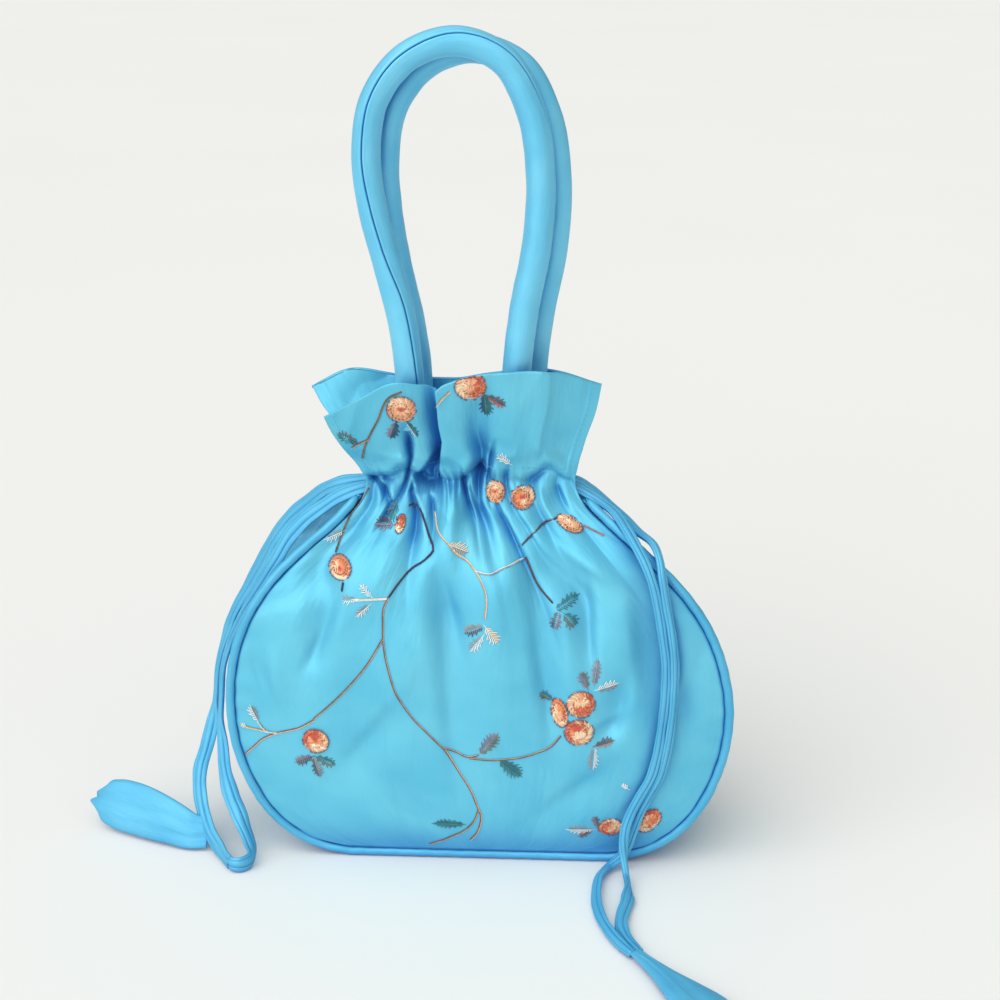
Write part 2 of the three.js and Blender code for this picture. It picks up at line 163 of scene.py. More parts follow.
def mesh_piece(name, corners, loops, sizes, material, cloth=None):
    """A mesh object from arrays: corners in millimetres, the corner numbers of all faces in one row,
    the number of corners of each face, and the cloth map in metres for each entry of that row."""
    mesh = bpy.data.meshes.new(name)
    mesh.vertices.add(len(corners))
    mesh.vertices.foreach_set("co", (corners * MM).astype(np.float32).ravel())
    mesh.loops.add(len(loops))
    mesh.loops.foreach_set("vertex_index", loops.astype(np.int32))
    mesh.polygons.add(len(sizes))
    starts = np.concatenate([[0], np.cumsum(sizes)[:-1]])
    mesh.polygons.foreach_set("loop_start", starts.astype(np.int32))
    mesh.polygons.foreach_set("use_smooth", np.ones(len(sizes), bool))
    if cloth is not None:
        layer = mesh.uv_layers.new(name="cloth")
        layer.data.foreach_set("uv", cloth.astype(np.float32).ravel())
    mesh.update(calc_edges=True)
    mesh.validate()
    mesh.materials.append(material)
    piece = bpy.data.objects.new(name, mesh)
    scene.collection.objects.link(piece)
    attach(piece, "root")
    print(f"{name}: {len(corners)} points, {len(sizes)} faces")
    return piece


def grid_piece(name, points, material, wrap=False):
    """A piece from a grid of points. wrap closes it into a tube, whose two ends are capped."""
    rows, columns = points.shape[:2]
    corners, row, column = grid_faces(rows, columns, wrap)
    middle = points[rows // 2]
    if wrap:
        middle = np.concatenate([middle, middle[:1]])
    across = run_of(middle) * MM
    along = run_of(points[:, columns // 2]) * MM
    loops = corners.ravel()
    sizes = np.full(len(corners), 4)
    cloth = np.stack([across[column], along[row]], -1).reshape(-1, 2)
    if wrap:
        ring = np.arange(columns)
        loops = np.concatenate([loops, ring[::-1], (rows - 1) * columns + ring])
        sizes = np.concatenate([sizes, [columns, columns]])
        cloth = np.concatenate([cloth, np.zeros((2 * columns, 2))])
    return mesh_piece(name, points.reshape(-1, 3), loops, sizes, material, cloth)


def turns(count):
    """count evenly spaced angles of one full turn."""
    return np.linspace(0, 2 * np.pi, count, endpoint=False)


def path_frame(path, towards):
    """Directions along a path, across it on the side that towards gives, and square to both."""
    along = unit(np.gradient(path, axis=0))
    across = unit(towards - (towards * along).sum(-1, keepdims=True) * along)
    return along, across, np.cross(along, across)


def sweep(path, across, through, section):
    """A section carried along a path: each section point gives its distances along the two directions."""
    return path[:, None] + section[..., :1] * across[:, None] + section[..., 1:] * through[:, None]


def add_wall(piece, thickness):
    """Gives a cloth surface its thickness, to the inside."""
    wall = piece.modifiers.new("wall", "SOLIDIFY")
    wall.thickness = thickness * MM
    wall.offset = -1


def cloth_area(piece):
    """Area of a cloth's outer face in square metres."""
    return sum(polygon.area for polygon in piece.data.polygons)

# %% [markdown]
# ## Satin and thread
#
# Satin shines because its yarns float over several others before they dip, so its highlights are wide and
# slightly streaked along the floats. Real floats are about 0.1 mm wide and would vanish at this distance,
# so they are drawn five to ten times coarser. The blue itself wanders a little, as dyed cloth does.
# Embroidery thread is silky too, but each stitch is a shape of its own, so it needs less in its material.

# %% materials
MIX_A = 6                     # numbers of the mix node's colour inputs and of its colour output
MIX_B = 7
MIX_RESULT = 2
SHEEN_TINT = "BFE8F6"
# deep blue painted into the satins' colour inside folds: painted shade
PAINTED_FOLD_SHADE = "3084C8"
FLOAT_SCALE = (1100.0, 130.0, 1.0)     # floats in a metre of cloth, across and along it
WRINKLE_SCALE = (80.0, 22.0, 1.0)      # soft wrinkles in a metre of cloth, across and along it


def linear(code):
    """A colour code such as 70CBE6 as linear light: the sRGB curve undone channel by channel."""
    channels = np.array([int(code[i:i + 2], 16) for i in (0, 2, 4)]) / 255
    light = np.where(channels <= 0.04045, channels / 12.92, ((channels + 0.055) / 1.055) ** 2.4)
    return (*light.tolist(), 1.0)


def add_node(tree, kind, inputs, **settings):
    """Adds a node, sets its settings, and fills its inputs with numbers, colours or other nodes' outputs."""
    node = tree.nodes.new(kind)
    for key, value in settings.items():
        setattr(node, key, value)
    for key, value in inputs.items():
        if isinstance(value, bpy.types.NodeSocket):
            tree.links.new(value, node.inputs[key])
        else:
            node.inputs[key].default_value = value
    return node


def shaded(name, **values):
    """A new material with its surface shader's plain values set."""
    material = bpy.data.materials.new(name)
    material.use_nodes = True
    shader = material.node_tree.nodes["Principled BSDF"]
    for key, value in values.items():
        shader.inputs[key.replace("_", " ")].default_value = value
    return material, material.node_tree, shader


def two_tones(tree, noise, light, deep):
    """A colour that wanders between two tones as a noise does."""
    tone = add_node(tree, "ShaderNodeMapRange",
                    {"Value": noise.outputs["Fac"], "From Min": 0.35, "From Max": 0.65})
    mixed = add_node(tree, "ShaderNodeMix", {"Factor": tone.outputs["Result"], MIX_A: linear(light),
                                             MIX_B: linear(deep)}, data_type="RGBA")
    return mixed.outputs[MIX_RESULT]


def satin(name, light, deep, roughness, folds=(0.014, 0.1, 0.74)):
    """Blue satin: wide soft highlights that soft wrinkles about 10 mm wide break up, fine streaks along
    the floats, and a blue that wanders between two close tones over a few centimetres.
    Inside folds that little open sky reaches, a deeper blue is painted into the colour as painted shade,
    in place of the light that is filtered there again and again. folds is how far the look for open sky
    reaches, and the two shares of open sky between which the painted shade goes from deepest to none."""
    reach, deepest, plain = folds
    material, tree, shader = shaded(name, Metallic=0.34, Specular_IOR_Level=0.4, Sheen_Weight=0.1,
                                    Sheen_Roughness=0.35)
    shader.inputs["Sheen Tint"].default_value = linear(SHEEN_TINT)
    cloth = add_node(tree, "ShaderNodeUVMap", {}, uv_map="cloth")
    wander = add_node(tree, "ShaderNodeTexNoise",
                      {"Vector": cloth.outputs["UV"], "Scale": 38.0, "Detail": 2.0, "Roughness": 0.45})
    # painted shade: where ambient occlusion finds little open sky, the colour is mixed towards the deep blue
    open_sky = add_node(tree, "ShaderNodeAmbientOcclusion", {"Distance": reach}, samples=6)
    painted_shade = add_node(tree, "ShaderNodeMapRange",
                      {"Value": open_sky.outputs["AO"], "From Min": deepest, "From Max": plain,
                       "To Min": 1.0, "To Max": 0.0})
    fold = add_node(tree, "ShaderNodeMix",
                    {"Factor": painted_shade.outputs["Result"], MIX_A: two_tones(tree, wander, light, deep),
                     MIX_B: linear(PAINTED_FOLD_SHADE)}, data_type="RGBA")
    tree.links.new(fold.outputs[MIX_RESULT], shader.inputs["Base Color"])
    stretched = add_node(tree, "ShaderNodeMapping", {"Vector": cloth.outputs["UV"], "Scale": FLOAT_SCALE})
    floats = add_node(tree, "ShaderNodeTexNoise",
                      {"Vector": stretched.outputs["Vector"], "Scale": 1.0, "Detail": 2.0})
    shine = add_node(tree, "ShaderNodeMapRange",
                     {"Value": floats.outputs["Fac"], "From Min": 0.3, "From Max": 0.7,
                      "To Min": roughness - 0.05, "To Max": roughness + 0.07})
    tree.links.new(shine.outputs["Result"], shader.inputs["Roughness"])
    drawn = add_node(tree, "ShaderNodeMapping", {"Vector": cloth.outputs["UV"], "Scale": WRINKLE_SCALE})
    crumple = add_node(tree, "ShaderNodeTexNoise",
                       {"Vector": drawn.outputs["Vector"], "Scale": 1.0, "Detail": 3.0, "Roughness": 0.5})
    wrinkles = add_node(tree, "ShaderNodeBump",
                        {"Height": crumple.outputs["Fac"], "Strength": 0.6, "Distance": 0.0026})
    ribs = add_node(tree, "ShaderNodeBump",
                    {"Height": floats.outputs["Fac"], "Strength": 0.22, "Distance": 0.0002,
                     "Normal": wrinkles.outputs["Normal"]})
    tree.links.new(ribs.outputs["Normal"], shader.inputs["Normal"])
    return material


def thread(name, light, deep):
    """Silky thread: two close tones that change every few millimetres, as in space-dyed skeins."""
    material, tree, shader = shaded(name, Roughness=0.42, Sheen_Weight=0.2)
    place = add_node(tree, "ShaderNodeTexCoord", {})
    dye = add_node(tree, "ShaderNodeTexNoise",
                   {"Vector": place.outputs["Object"], "Scale": 260.0, "Detail": 1.0})
    tree.links.new(two_tones(tree, dye, light, deep), shader.inputs["Base Color"])
    return material


# every satin's colour gets painted shade in its folds; the panel's looks further for open sky
PANEL_SATIN = satin("blue panel satin", "6CC9E2", "5EBFDD", 0.47, folds=(0.024, 0.24, 0.93))
GUSSET_SATIN = satin("blue gusset satin", "60BDE0", "52B2D8", 0.46)
PIPING_SATIN = satin("blue piping satin", "5EBBE0", "50B0D9", 0.46)
HANDLE_SATIN = satin("blue handle satin", "78CFEE", "68C5E9", 0.48)
STRING_SATIN = satin("blue string satin", "62BCE0", "54B0D8", 0.5)
SEAM_THREAD = thread("blue sewing thread", "66C4E6", "5AB9DF")
print("materials:", [material.name for material in bpy.data.materials])

# %% [markdown]
# ## The four strings
#
# A drawstring of satin runs through the neck twice and leaves each side slit as a pair of flat strings.
# Each is a folded strip with a seam along it. Strings this limp lie where they fall: over the shoulder,
# down the belly and onto the table, turning on edge where they bend sideways.
# The route is a curve through the same points as the solid. A short table says which way the flat side
# looks on the way down. Where a string reaches the table it is lifted just clear of it.
# The route was laid from the photograph, so no cloth simulation is needed to reproduce it.

# %% string routes in millimetres
LEFT_OUTER = [
    (-46, 3.2, 164.6), (-54.5, 3.6, 163.6), (-61.9, 4, 162), (-69.2, 6, 158.3), (-76.6, 8, 152),
    (-84.3, 9, 145), (-91.9, 9, 135.2), (-97.6, 9, 124.8), (-103.5, 9, 113.9), (-112, 8.5, 98.4),
    (-117.3, 8, 83), (-119.9, 7, 71.6), (-120.9, 5.5, 60.7), (-122.2, 2.5, 49.5), (-124.6, -3, 38),
    (-126.8, -9, 29.5), (-126, -15.5, 22), (-123.4, -22, 15), (-120.6, -27, 9.5), (-116.5, -32.5, 5.4),
    (-112.6, -38.2, 3.2), (-109.9, -42.4, 2.3), (-108, -45.2, 2.2),
]
LEFT_INNER = [
    (-46, -3.2, 164.2), (-53.5, -4.5, 162.6), (-60.6, -6, 160), (-67.2, -9, 156.2), (-73.9, -12, 151.8),
    (-80.6, -15, 145.3), (-86.7, -18, 135.5), (-94.2, -18, 123.4), (-102.6, -16, 109), (-110.6, -11, 91.5),
    (-114.2, -8, 78.7), (-115.5, -8, 66), (-116.2, -9.5, 54), (-115.2, -12.5, 44), (-113.3, -18.5, 32.5),
    (-109.8, -24, 24.1), (-106.4, -28, 18.6), (-103.2, -32, 13), (-100.6, -35.5, 8), (-99, -39, 4.2),
    (-99, -42.6, 2.4), (-100.6, -46, 2.2), (-103.4, -47.8, 2.2), (-106.1, -47.3, 2.2), (-107.75, -45.6, 2.2),
]
RIGHT_OUTER = [
    (36, 3.2, 166), (41, 3, 165.1), (46, 2.4, 162.3), (51.3, 1, 158.6), (56.8, -2.5, 154.8),
    (62, -7.5, 152), (67, -13.3, 148.6), (73.2, -21.2, 146), (75.9, -28.4, 141.2), (77, -32.4, 135.6),
    (78.1, -33.9, 129.4), (79.3, -35.2, 123), (81.7, -37.2, 110.3), (83, -38.2, 99.7), (83.1, -38.8, 85.5),
    (82.2, -39, 70), (80.4, -38.8, 56), (78, -38.2, 45.5), (73.7, -37.7, 36.5), (69.9, -37, 28),
    (67.4, -36.5, 20), (65.3, -36, 12), (61.5, -35.8, 5), (57.2, -38.2, 2.2), (53.6, -45, 2.2),
    (51.8, -57.5, 2.2), (52.2, -72, 2.2), (56.1, -87.8, 2.2), (61.3, -99.1, 2.2), (66.3, -107.2, 2.4),
]
RIGHT_INNER = [
    (36, -3.2, 165), (41, -3.4, 164.1), (46, -4.6, 161.9), (51.2, -7.8, 159.6), (56.8, -13.6, 157.1),
    (61.7, -21.6, 152.6), (65.9, -27, 147), (69.6, -31, 141), (72.9, -33.8, 133), (75.4, -35.2, 122.9),
    (77.6, -37.2, 110.4), (79.2, -38.2, 99.5), (79.3, -38.9, 85.5), (78.2, -39.1, 70), (76.4, -39.2, 56),
    (73.8, -39, 45.6), (69.6, -39, 37), (66, -39.6, 29.3), (63.8, -40.6, 22.4), (63.2, -42, 15),
    (63.8, -44, 8.5), (64.8, -48, 3.4), (65.5, -57, 2.2), (65, -66, 2.2), (63, -76, 2.2),
    (62.2, -86, 2.2), (64.2, -94.3, 2.2), (69.4, -105, 2.4),
]

# How a string lies: number of the route's point, width there, and where its flat side looks.
LEFT_OUTER_LIE = [
    (0, 6.4, (-0.1, -0.5, 0.86)), (2, 7.6, (-0.35, -0.6, 0.72)), (7, 7.4, (-0.6, -0.65, 0.45)),
    (9.2, 6, (-0.8, -0.6, 0.1)), (10.5, 5, (-0.96, -0.28, 0)), (12, 5, (-0.95, -0.3, 0)),
    (13.4, 7, (-0.3, -0.95, 0.05)), (15, 6.4, (-0.15, -0.96, 0.2)), (17, 6.8, (-0.25, -0.88, 0.4)),
    (19, 6.8, (-0.5, -0.8, 0.3)), (22, 6.6, (-0.8, -0.58, 0.12)),
]
LEFT_INNER_LIE = [
    (0, 6.2, (-0.1, -0.5, 0.86)), (2, 7, (-0.25, -0.7, 0.67)), (6, 6.8, (-0.35, -0.87, 0.33)),
    (8.2, 4.8, (-0.85, -0.52, 0.05)), (10, 4.4, (-0.97, -0.25, 0)), (11.6, 4.6, (-0.96, -0.28, 0)),
    (13.2, 6, (-0.3, -0.95, 0.05)), (15.5, 7.2, (0.25, -0.94, 0.2)), (18, 7, (0.8, -0.55, 0.2)),
    (20, 6.8, (0.95, -0.3, 0.1)), (22, 6.8, (0.25, -0.96, 0.1)), (24, 6.6, (-0.8, -0.58, 0.12)),
]
RIGHT_OUTER_LIE = [
    (0, 6, (0.1, -0.5, 0.86)), (3, 5, (0.35, -0.5, 0.79)), (6, 4.4, (0.5, -0.6, 0.62)),
    (9, 4.2, (0.6, -0.78, 0.15)), (14, 4, (0.45, -0.89, 0.05)), (18, 4.2, (0.2, -0.97, 0.1)),
    (21, 4.6, (-0.3, -0.9, 0.3)), (23, 5, (-0.6, -0.35, 0.72)), (26, 5, (-0.62, -0.25, 0.74)),
    (28, 4.6, (-0.35, -0.4, 0.85)), (29, 3.6, (-0.2, -0.35, 0.91)),
]
RIGHT_INNER_LIE = [
    (0, 6, (0.1, -0.5, 0.86)), (3, 5, (0.2, -0.6, 0.77)), (6, 4.4, (0.05, -0.85, 0.52)),
    (8, 4.2, (-0.1, -0.98, 0.15)), (14, 4, (-0.2, -0.97, 0.05)), (18, 4.2, (-0.3, -0.94, 0.1)),
    (20.5, 3.8, (0.75, -0.55, 0.37)), (21.6, 4, (0.85, -0.25, 0.46)), (23, 6, (0.25, -0.3, 0.92)),
    (25, 5.6, (-0.3, -0.3, 0.9)), (26, 4.6, (-0.2, -0.3, 0.93)), (27, 3.6, (-0.1, -0.35, 0.93)),
]

# %% strings
STRING_THICK = 2.1
STRING_STEP = 1.1             # distance between sections along a string
TABLE_CLEAR = 0.35            # height at which strings and leaf ends are laid over the table
LEAST_CLEAR = 0.1             # no point of a string comes lower, nor the piping apart from its wrinkles
LIFT_REACH = 7                # sections over which a lift off the table is eased
# places across the front of a string, close together at its two grooves, and across its back
STRING_FRONT = np.array([-1, -0.96, -0.85, -0.6, -0.46, -0.4, -0.35, -0.3, -0.24, 0, 0.2, 0.4,
                         0.5, 0.55, 0.6, 0.65, 0.75, 0.88, 0.96])
STRING_BACK = np.array([1, 0.94, 0.7, 0.3, -0.3, -0.7, -0.94])
GROOVE_WIDE = 0.06            # half width of a groove, as a share of the string's half width


def string_section(run, wide):
    """A folded strip: a flat oval whose half thickness is the square root of 1 less the fifth power of the
    place across, so it stays nearly even and closes quickly at the edges.
    Its front is a low roof, and two narrow grooves in it are the seam and the edge of the fold under it.
    The edges ripple a little along the run."""
    across = np.concatenate([STRING_FRONT, STRING_BACK])[None, :]
    front = np.concatenate([np.ones(len(STRING_FRONT)), np.zeros(len(STRING_BACK))])[None, :]
    thick = (2 * front - 1) * (1 - np.abs(across) ** 5) ** 0.5
    ridge = 0.15 + 0.12 * np.sin(run / 17)
    roof = 1.2 - 0.7 * np.abs(across - ridge) * front
    seam = 0.55 * np.exp(-((across + 0.35) / GROOVE_WIDE) ** 2)
    seam = seam + 0.4 * np.exp(-((across - 0.57) / GROOVE_WIDE) ** 2)
    ripple = 1 + 0.04 * np.sin(run / 5.3) + 0.03 * np.sin(run / 2.1 + 1)
    pillow = 0.1 * np.sin(run / 6.1 + 2.5 * across)
    return np.stack([
        -across * wide / 2 * ripple,
        thick * (STRING_THICK / 2 * roof - seam * front + pillow),
    ], -1)


def eased_lift(lift):
    """A lift spread along the run: the largest value nearby, then the mean of those, so that it never
    falls short."""
    padded = np.pad(lift, LIFT_REACH, mode="edge")
    widest = np.max([padded[k:k + len(lift)] for k in range(2 * LIFT_REACH + 1)], axis=0)
    padded = np.pad(widest, LIFT_REACH, mode="edge")
    return np.mean([padded[k:k + len(lift)] for k in range(2 * LIFT_REACH + 1)], axis=0)


def string_piece(name, node, route, lie):
    """A string: its route, the flat side's direction made square to the route, and the section."""
    route = np.array(route, float)
    knots = run_of(route)
    length = knots[-1]
    path = smooth_path(route, int(length / STRING_STEP))
    run = np.linspace(0, length, len(path))
    places = np.interp([row[0] for row in lie], np.arange(len(route)), knots)
    face = mix_table(run, [(place, row[2]) for place, row in zip(places, lie)])
    _, face, aside = path_frame(path, face)
    wide = mix_table(run, [(place, row[1]) for place, row in zip(places, lie)])
    reach = np.abs(aside[:, 2]) * wide / 2 + np.abs(face[:, 2]) * STRING_THICK / 2
    path[:, 2] += eased_lift(np.maximum(reach + TABLE_CLEAR - path[:, 2], 0))
    section = string_section(run[:, None], wide[:, None])
    points = sweep(path, -aside, face, section)
    points[..., 2] = np.maximum(points[..., 2], LEAST_CLEAR)
    piece = grid_piece(name, points, STRING_SATIN, wrap=True)
    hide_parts(node)
    return piece, path


strings = {}
for node, route, lie in (
    ("left_strand_outer", LEFT_OUTER, LEFT_OUTER_LIE),
    ("left_strand_inner", LEFT_INNER, LEFT_INNER_LIE),
    ("right_strand_outer", RIGHT_OUTER, RIGHT_OUTER_LIE),
    ("right_strand_inner", RIGHT_INNER, RIGHT_INNER_LIE),
):
    strings[node] = string_piece(node.replace("strand", "string"), node, route, lie)

# %% [markdown]
# ## The leaf ends
#
# Each pair of strings ends in a padded leaf of folded satin. The left one starts broad, behind the strings'
# loop, and the right one grows out of the two strings. The far end is cut into two shallow petals.
# One closed surface makes it: a lens-shaped section carried along a short curve. Towards the far end the
# section's points are pushed along the curve by different amounts, which gives the petals and the notch.

# %% leaf ends
LEAF_AT = (0, 0.12, 0.3, 0.5, 0.7, 0.85, 0.96, 1)
LEFT_LEAF_WIDE = (13, 15.5, 19, 22, 23, 21.5, 16.5, 11)
RIGHT_LEAF_WIDE = (5.5, 6.5, 10, 16, 21, 20.5, 16, 11)
LEAF_THICK = (1.8, 3, 4, 4.4, 4.2, 3.6, 2.2, 1.0)
LEFT_LEAF = [
    (-120.5, -27, 7.4), (-128, -26.6, 8), (-138, -22.8, 10), (-156, -14.5, 12),
    (-168, -9.5, 12.5), (-175, -6.5, 12.5),
]
RIGHT_LEAF = [(67.8, -106.9, 3.2), (80, -125, 3.2), (92.5, -143, 3.2), (104, -159, 3)]
LEAF_SECTIONS = 90
LEAF_SIDES = 56
PETAL_POWER = 6               # how late along the leaf its petals part


def leaf_piece(name, node, route, broad, wide_at, petals):
    """A leaf end. Its section is an ellipse with fuller shoulders. Pleats run out of its root, a crease runs
    down its middle, and petals gives how far the far end reaches at places across the leaf, as a share
    of its length."""
    path = smooth_path(route, LEAF_SECTIONS)
    share = np.linspace(0, 1, LEAF_SECTIONS)[:, None]
    along, across, through = path_frame(path, np.array(broad))
    angle = turns(LEAF_SIDES)
    side = np.cos(angle)[None, :]
    up = (np.sign(np.sin(angle)) * np.abs(np.sin(angle)) ** 0.8)[None, :]
    pleat = 0.15 * np.cos(side * 9 + 3 * share) * smoothstep(share, 0, 0.1)
    pleat = pleat * (1 - smoothstep(share, 0.3, 0.75))
    crease = 0.35 * np.exp(-np.abs((side - 0.1 + 0.3 * (1 - share)) / 0.12)) * smoothstep(share, 0.2, 0.6)
    wide = smooth(share, LEAF_AT, wide_at) / 2
    thick = smooth(share, LEAF_AT, LEAF_THICK) / 2 * (1 - 0.5 * crease) + pleat * (1 - side ** 2)
    section = np.stack([side * wide, up * thick], -1)
    points = sweep(path, across, through, section)
    push = mix_table(np.broadcast_to(side, share.shape[:1] + side.shape[1:]).ravel(), petals)
    push = push.reshape(LEAF_SECTIONS, LEAF_SIDES) * share ** PETAL_POWER * run_of(path)[-1]
    points = points + push[..., None] * along[:, None]
    points[..., 2] = np.maximum(points[..., 2], TABLE_CLEAR)
    piece = grid_piece(name, points, STRING_SATIN, wrap=True)
    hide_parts(node)
    return piece


left_leaf = leaf_piece("left_leaf", "left_leaf_end", LEFT_LEAF, (0, 0.5, 0.87), LEFT_LEAF_WIDE,
                       [(-1, -0.02), (-0.3, 0.06), (0.25, 0), (0.5, 0.02), (1, -0.04)])
right_leaf = leaf_piece("right_leaf", "right_leaf_end", RIGHT_LEAF, (0.71, 0.7, 0), RIGHT_LEAF_WIDE,
                        [(-1, -0.05), (-0.5, 0.02), (0, -0.03), (0.5, 0.02), (1, -0.05)])

for node, (piece, path) in strings.items():
    leaf = left_leaf if node.startswith("left") else right_leaf

# %% [markdown]
# ## The two panels
#
# Front and back are each one piece of interlined satin: the body, the gathered channel at the neck and the
# frill above it. Gathering keeps the cloth's width and shortens its run, so it buckles into folds that are
# deepest at the neck and fade above and below. They are uneven, and no two are alike.
# A panel is a function of two parameters: s runs from seam to seam and z up the cloth. A table of cross
# sections gives the half width and the depth at each height, smooth curves join them, and the folds are
# added as valleys. Sculpting would give the same looks, but this keeps each fold's place and depth as a
# number to correct against the photograph. The wall's thickness is then added to the inside.

# %% cross sections of the pouch
# height, half width, middle, depth of the left and the right seam, swell of the front and of the back,
# and how far the back's right seam is drawn in, across and forwards
SECTIONS = np.array([
    (4.25, 57, 0, 29, 29, 0.5, 0.5, 0, 0),
    (7, 69.5, 0, 29, 29, 1.5, 1.5, 0, 0),
    (13.5, 81, 0, 29.5, 29.5, 3.5, 3.5, 0, 0),
    (24, 91, 0, 30, 30, 6, 6, 0, 0),
    (38, 98.5, 0, 30, 30, 8, 8, 0, 0),
    (54.5, 103.5, 0, 30, 30, 9.5, 9.5, 0, 0),
    (72, 105, 0, 30, 30, 10, 10, 3, 2),
    (92, 102.5, -0.5, 30, 30, 10, 10, 7.5, 7),
    (110, 96, -1, 29, 29, 9.5, 9.5, 11, 14),
    (126, 85.3, -1.7, 27, 27, 9, 9, 12.5, 20),
    (140, 70.8, -2.2, 23, 23, 8, 8, 11, 19),
    (151, 57, -2.5, 17, 17, 7, 7, 8, 12),
    (160, 47, -3.5, 11, 11, 6, 6, 6, 4.5),
    (167, 44, -4.2, 8, 8, 5.5, 5.5, 3, 0.5),
    (176, 45.5, -4.8, 9, 7.5, 7, 6.5, 0, 0),
    (190, 50, -6, 12.5, 7, 10, 8, 0, 0),
    (204, 54.5, -6.5, 17, 5.5, 12, 8, 0, 0),
    (217, 57, -6.8, 20, 4.5, 13, 7, 0, 0),
], float)
FOOT = SECTIONS[0, 0]
NECK = 167.0
RIM = SECTIONS[-1, 0]
CROWN = 2.5                   # how square the swell is from seam to seam
HALF_WALL = 0.8
CLOTH_WALL = 1.4
SEAM_END = 162.0              # the panels part above this height
SEAM_TUCK = 1.1               # how far a panel's edge dips under the piping
HEM_EDGE = (4.0, 4.7)         # distance from a side edge at which the hem's step starts and ends
HEM_RISE = 0.35
RIM_ROUND = 1.2               # height over which the rim's edge is rounded
RIM_INSET = 0.7

# place from the left edge (-1) to the right (1), and height above the rim's own
FRONT_RIM = [
    (-1, -17.5), (-0.75, -9), (-0.45, -0.8), (-0.33, -2), (-0.225, -3.6), (-0.19, -5), (-0.12, -2.2),
    (0, 0.5), (0.3, 2.4), (0.6, 2), (1, -7),
]
BACK_RIM = [(-1, -16), (-0.8, -9), (-0.4, -11), (-0.1, -11), (0.2, -8), (0.6, -5), (1, -9)]
BACK_SPREAD = 11.0            # how far the back frill opens to the left

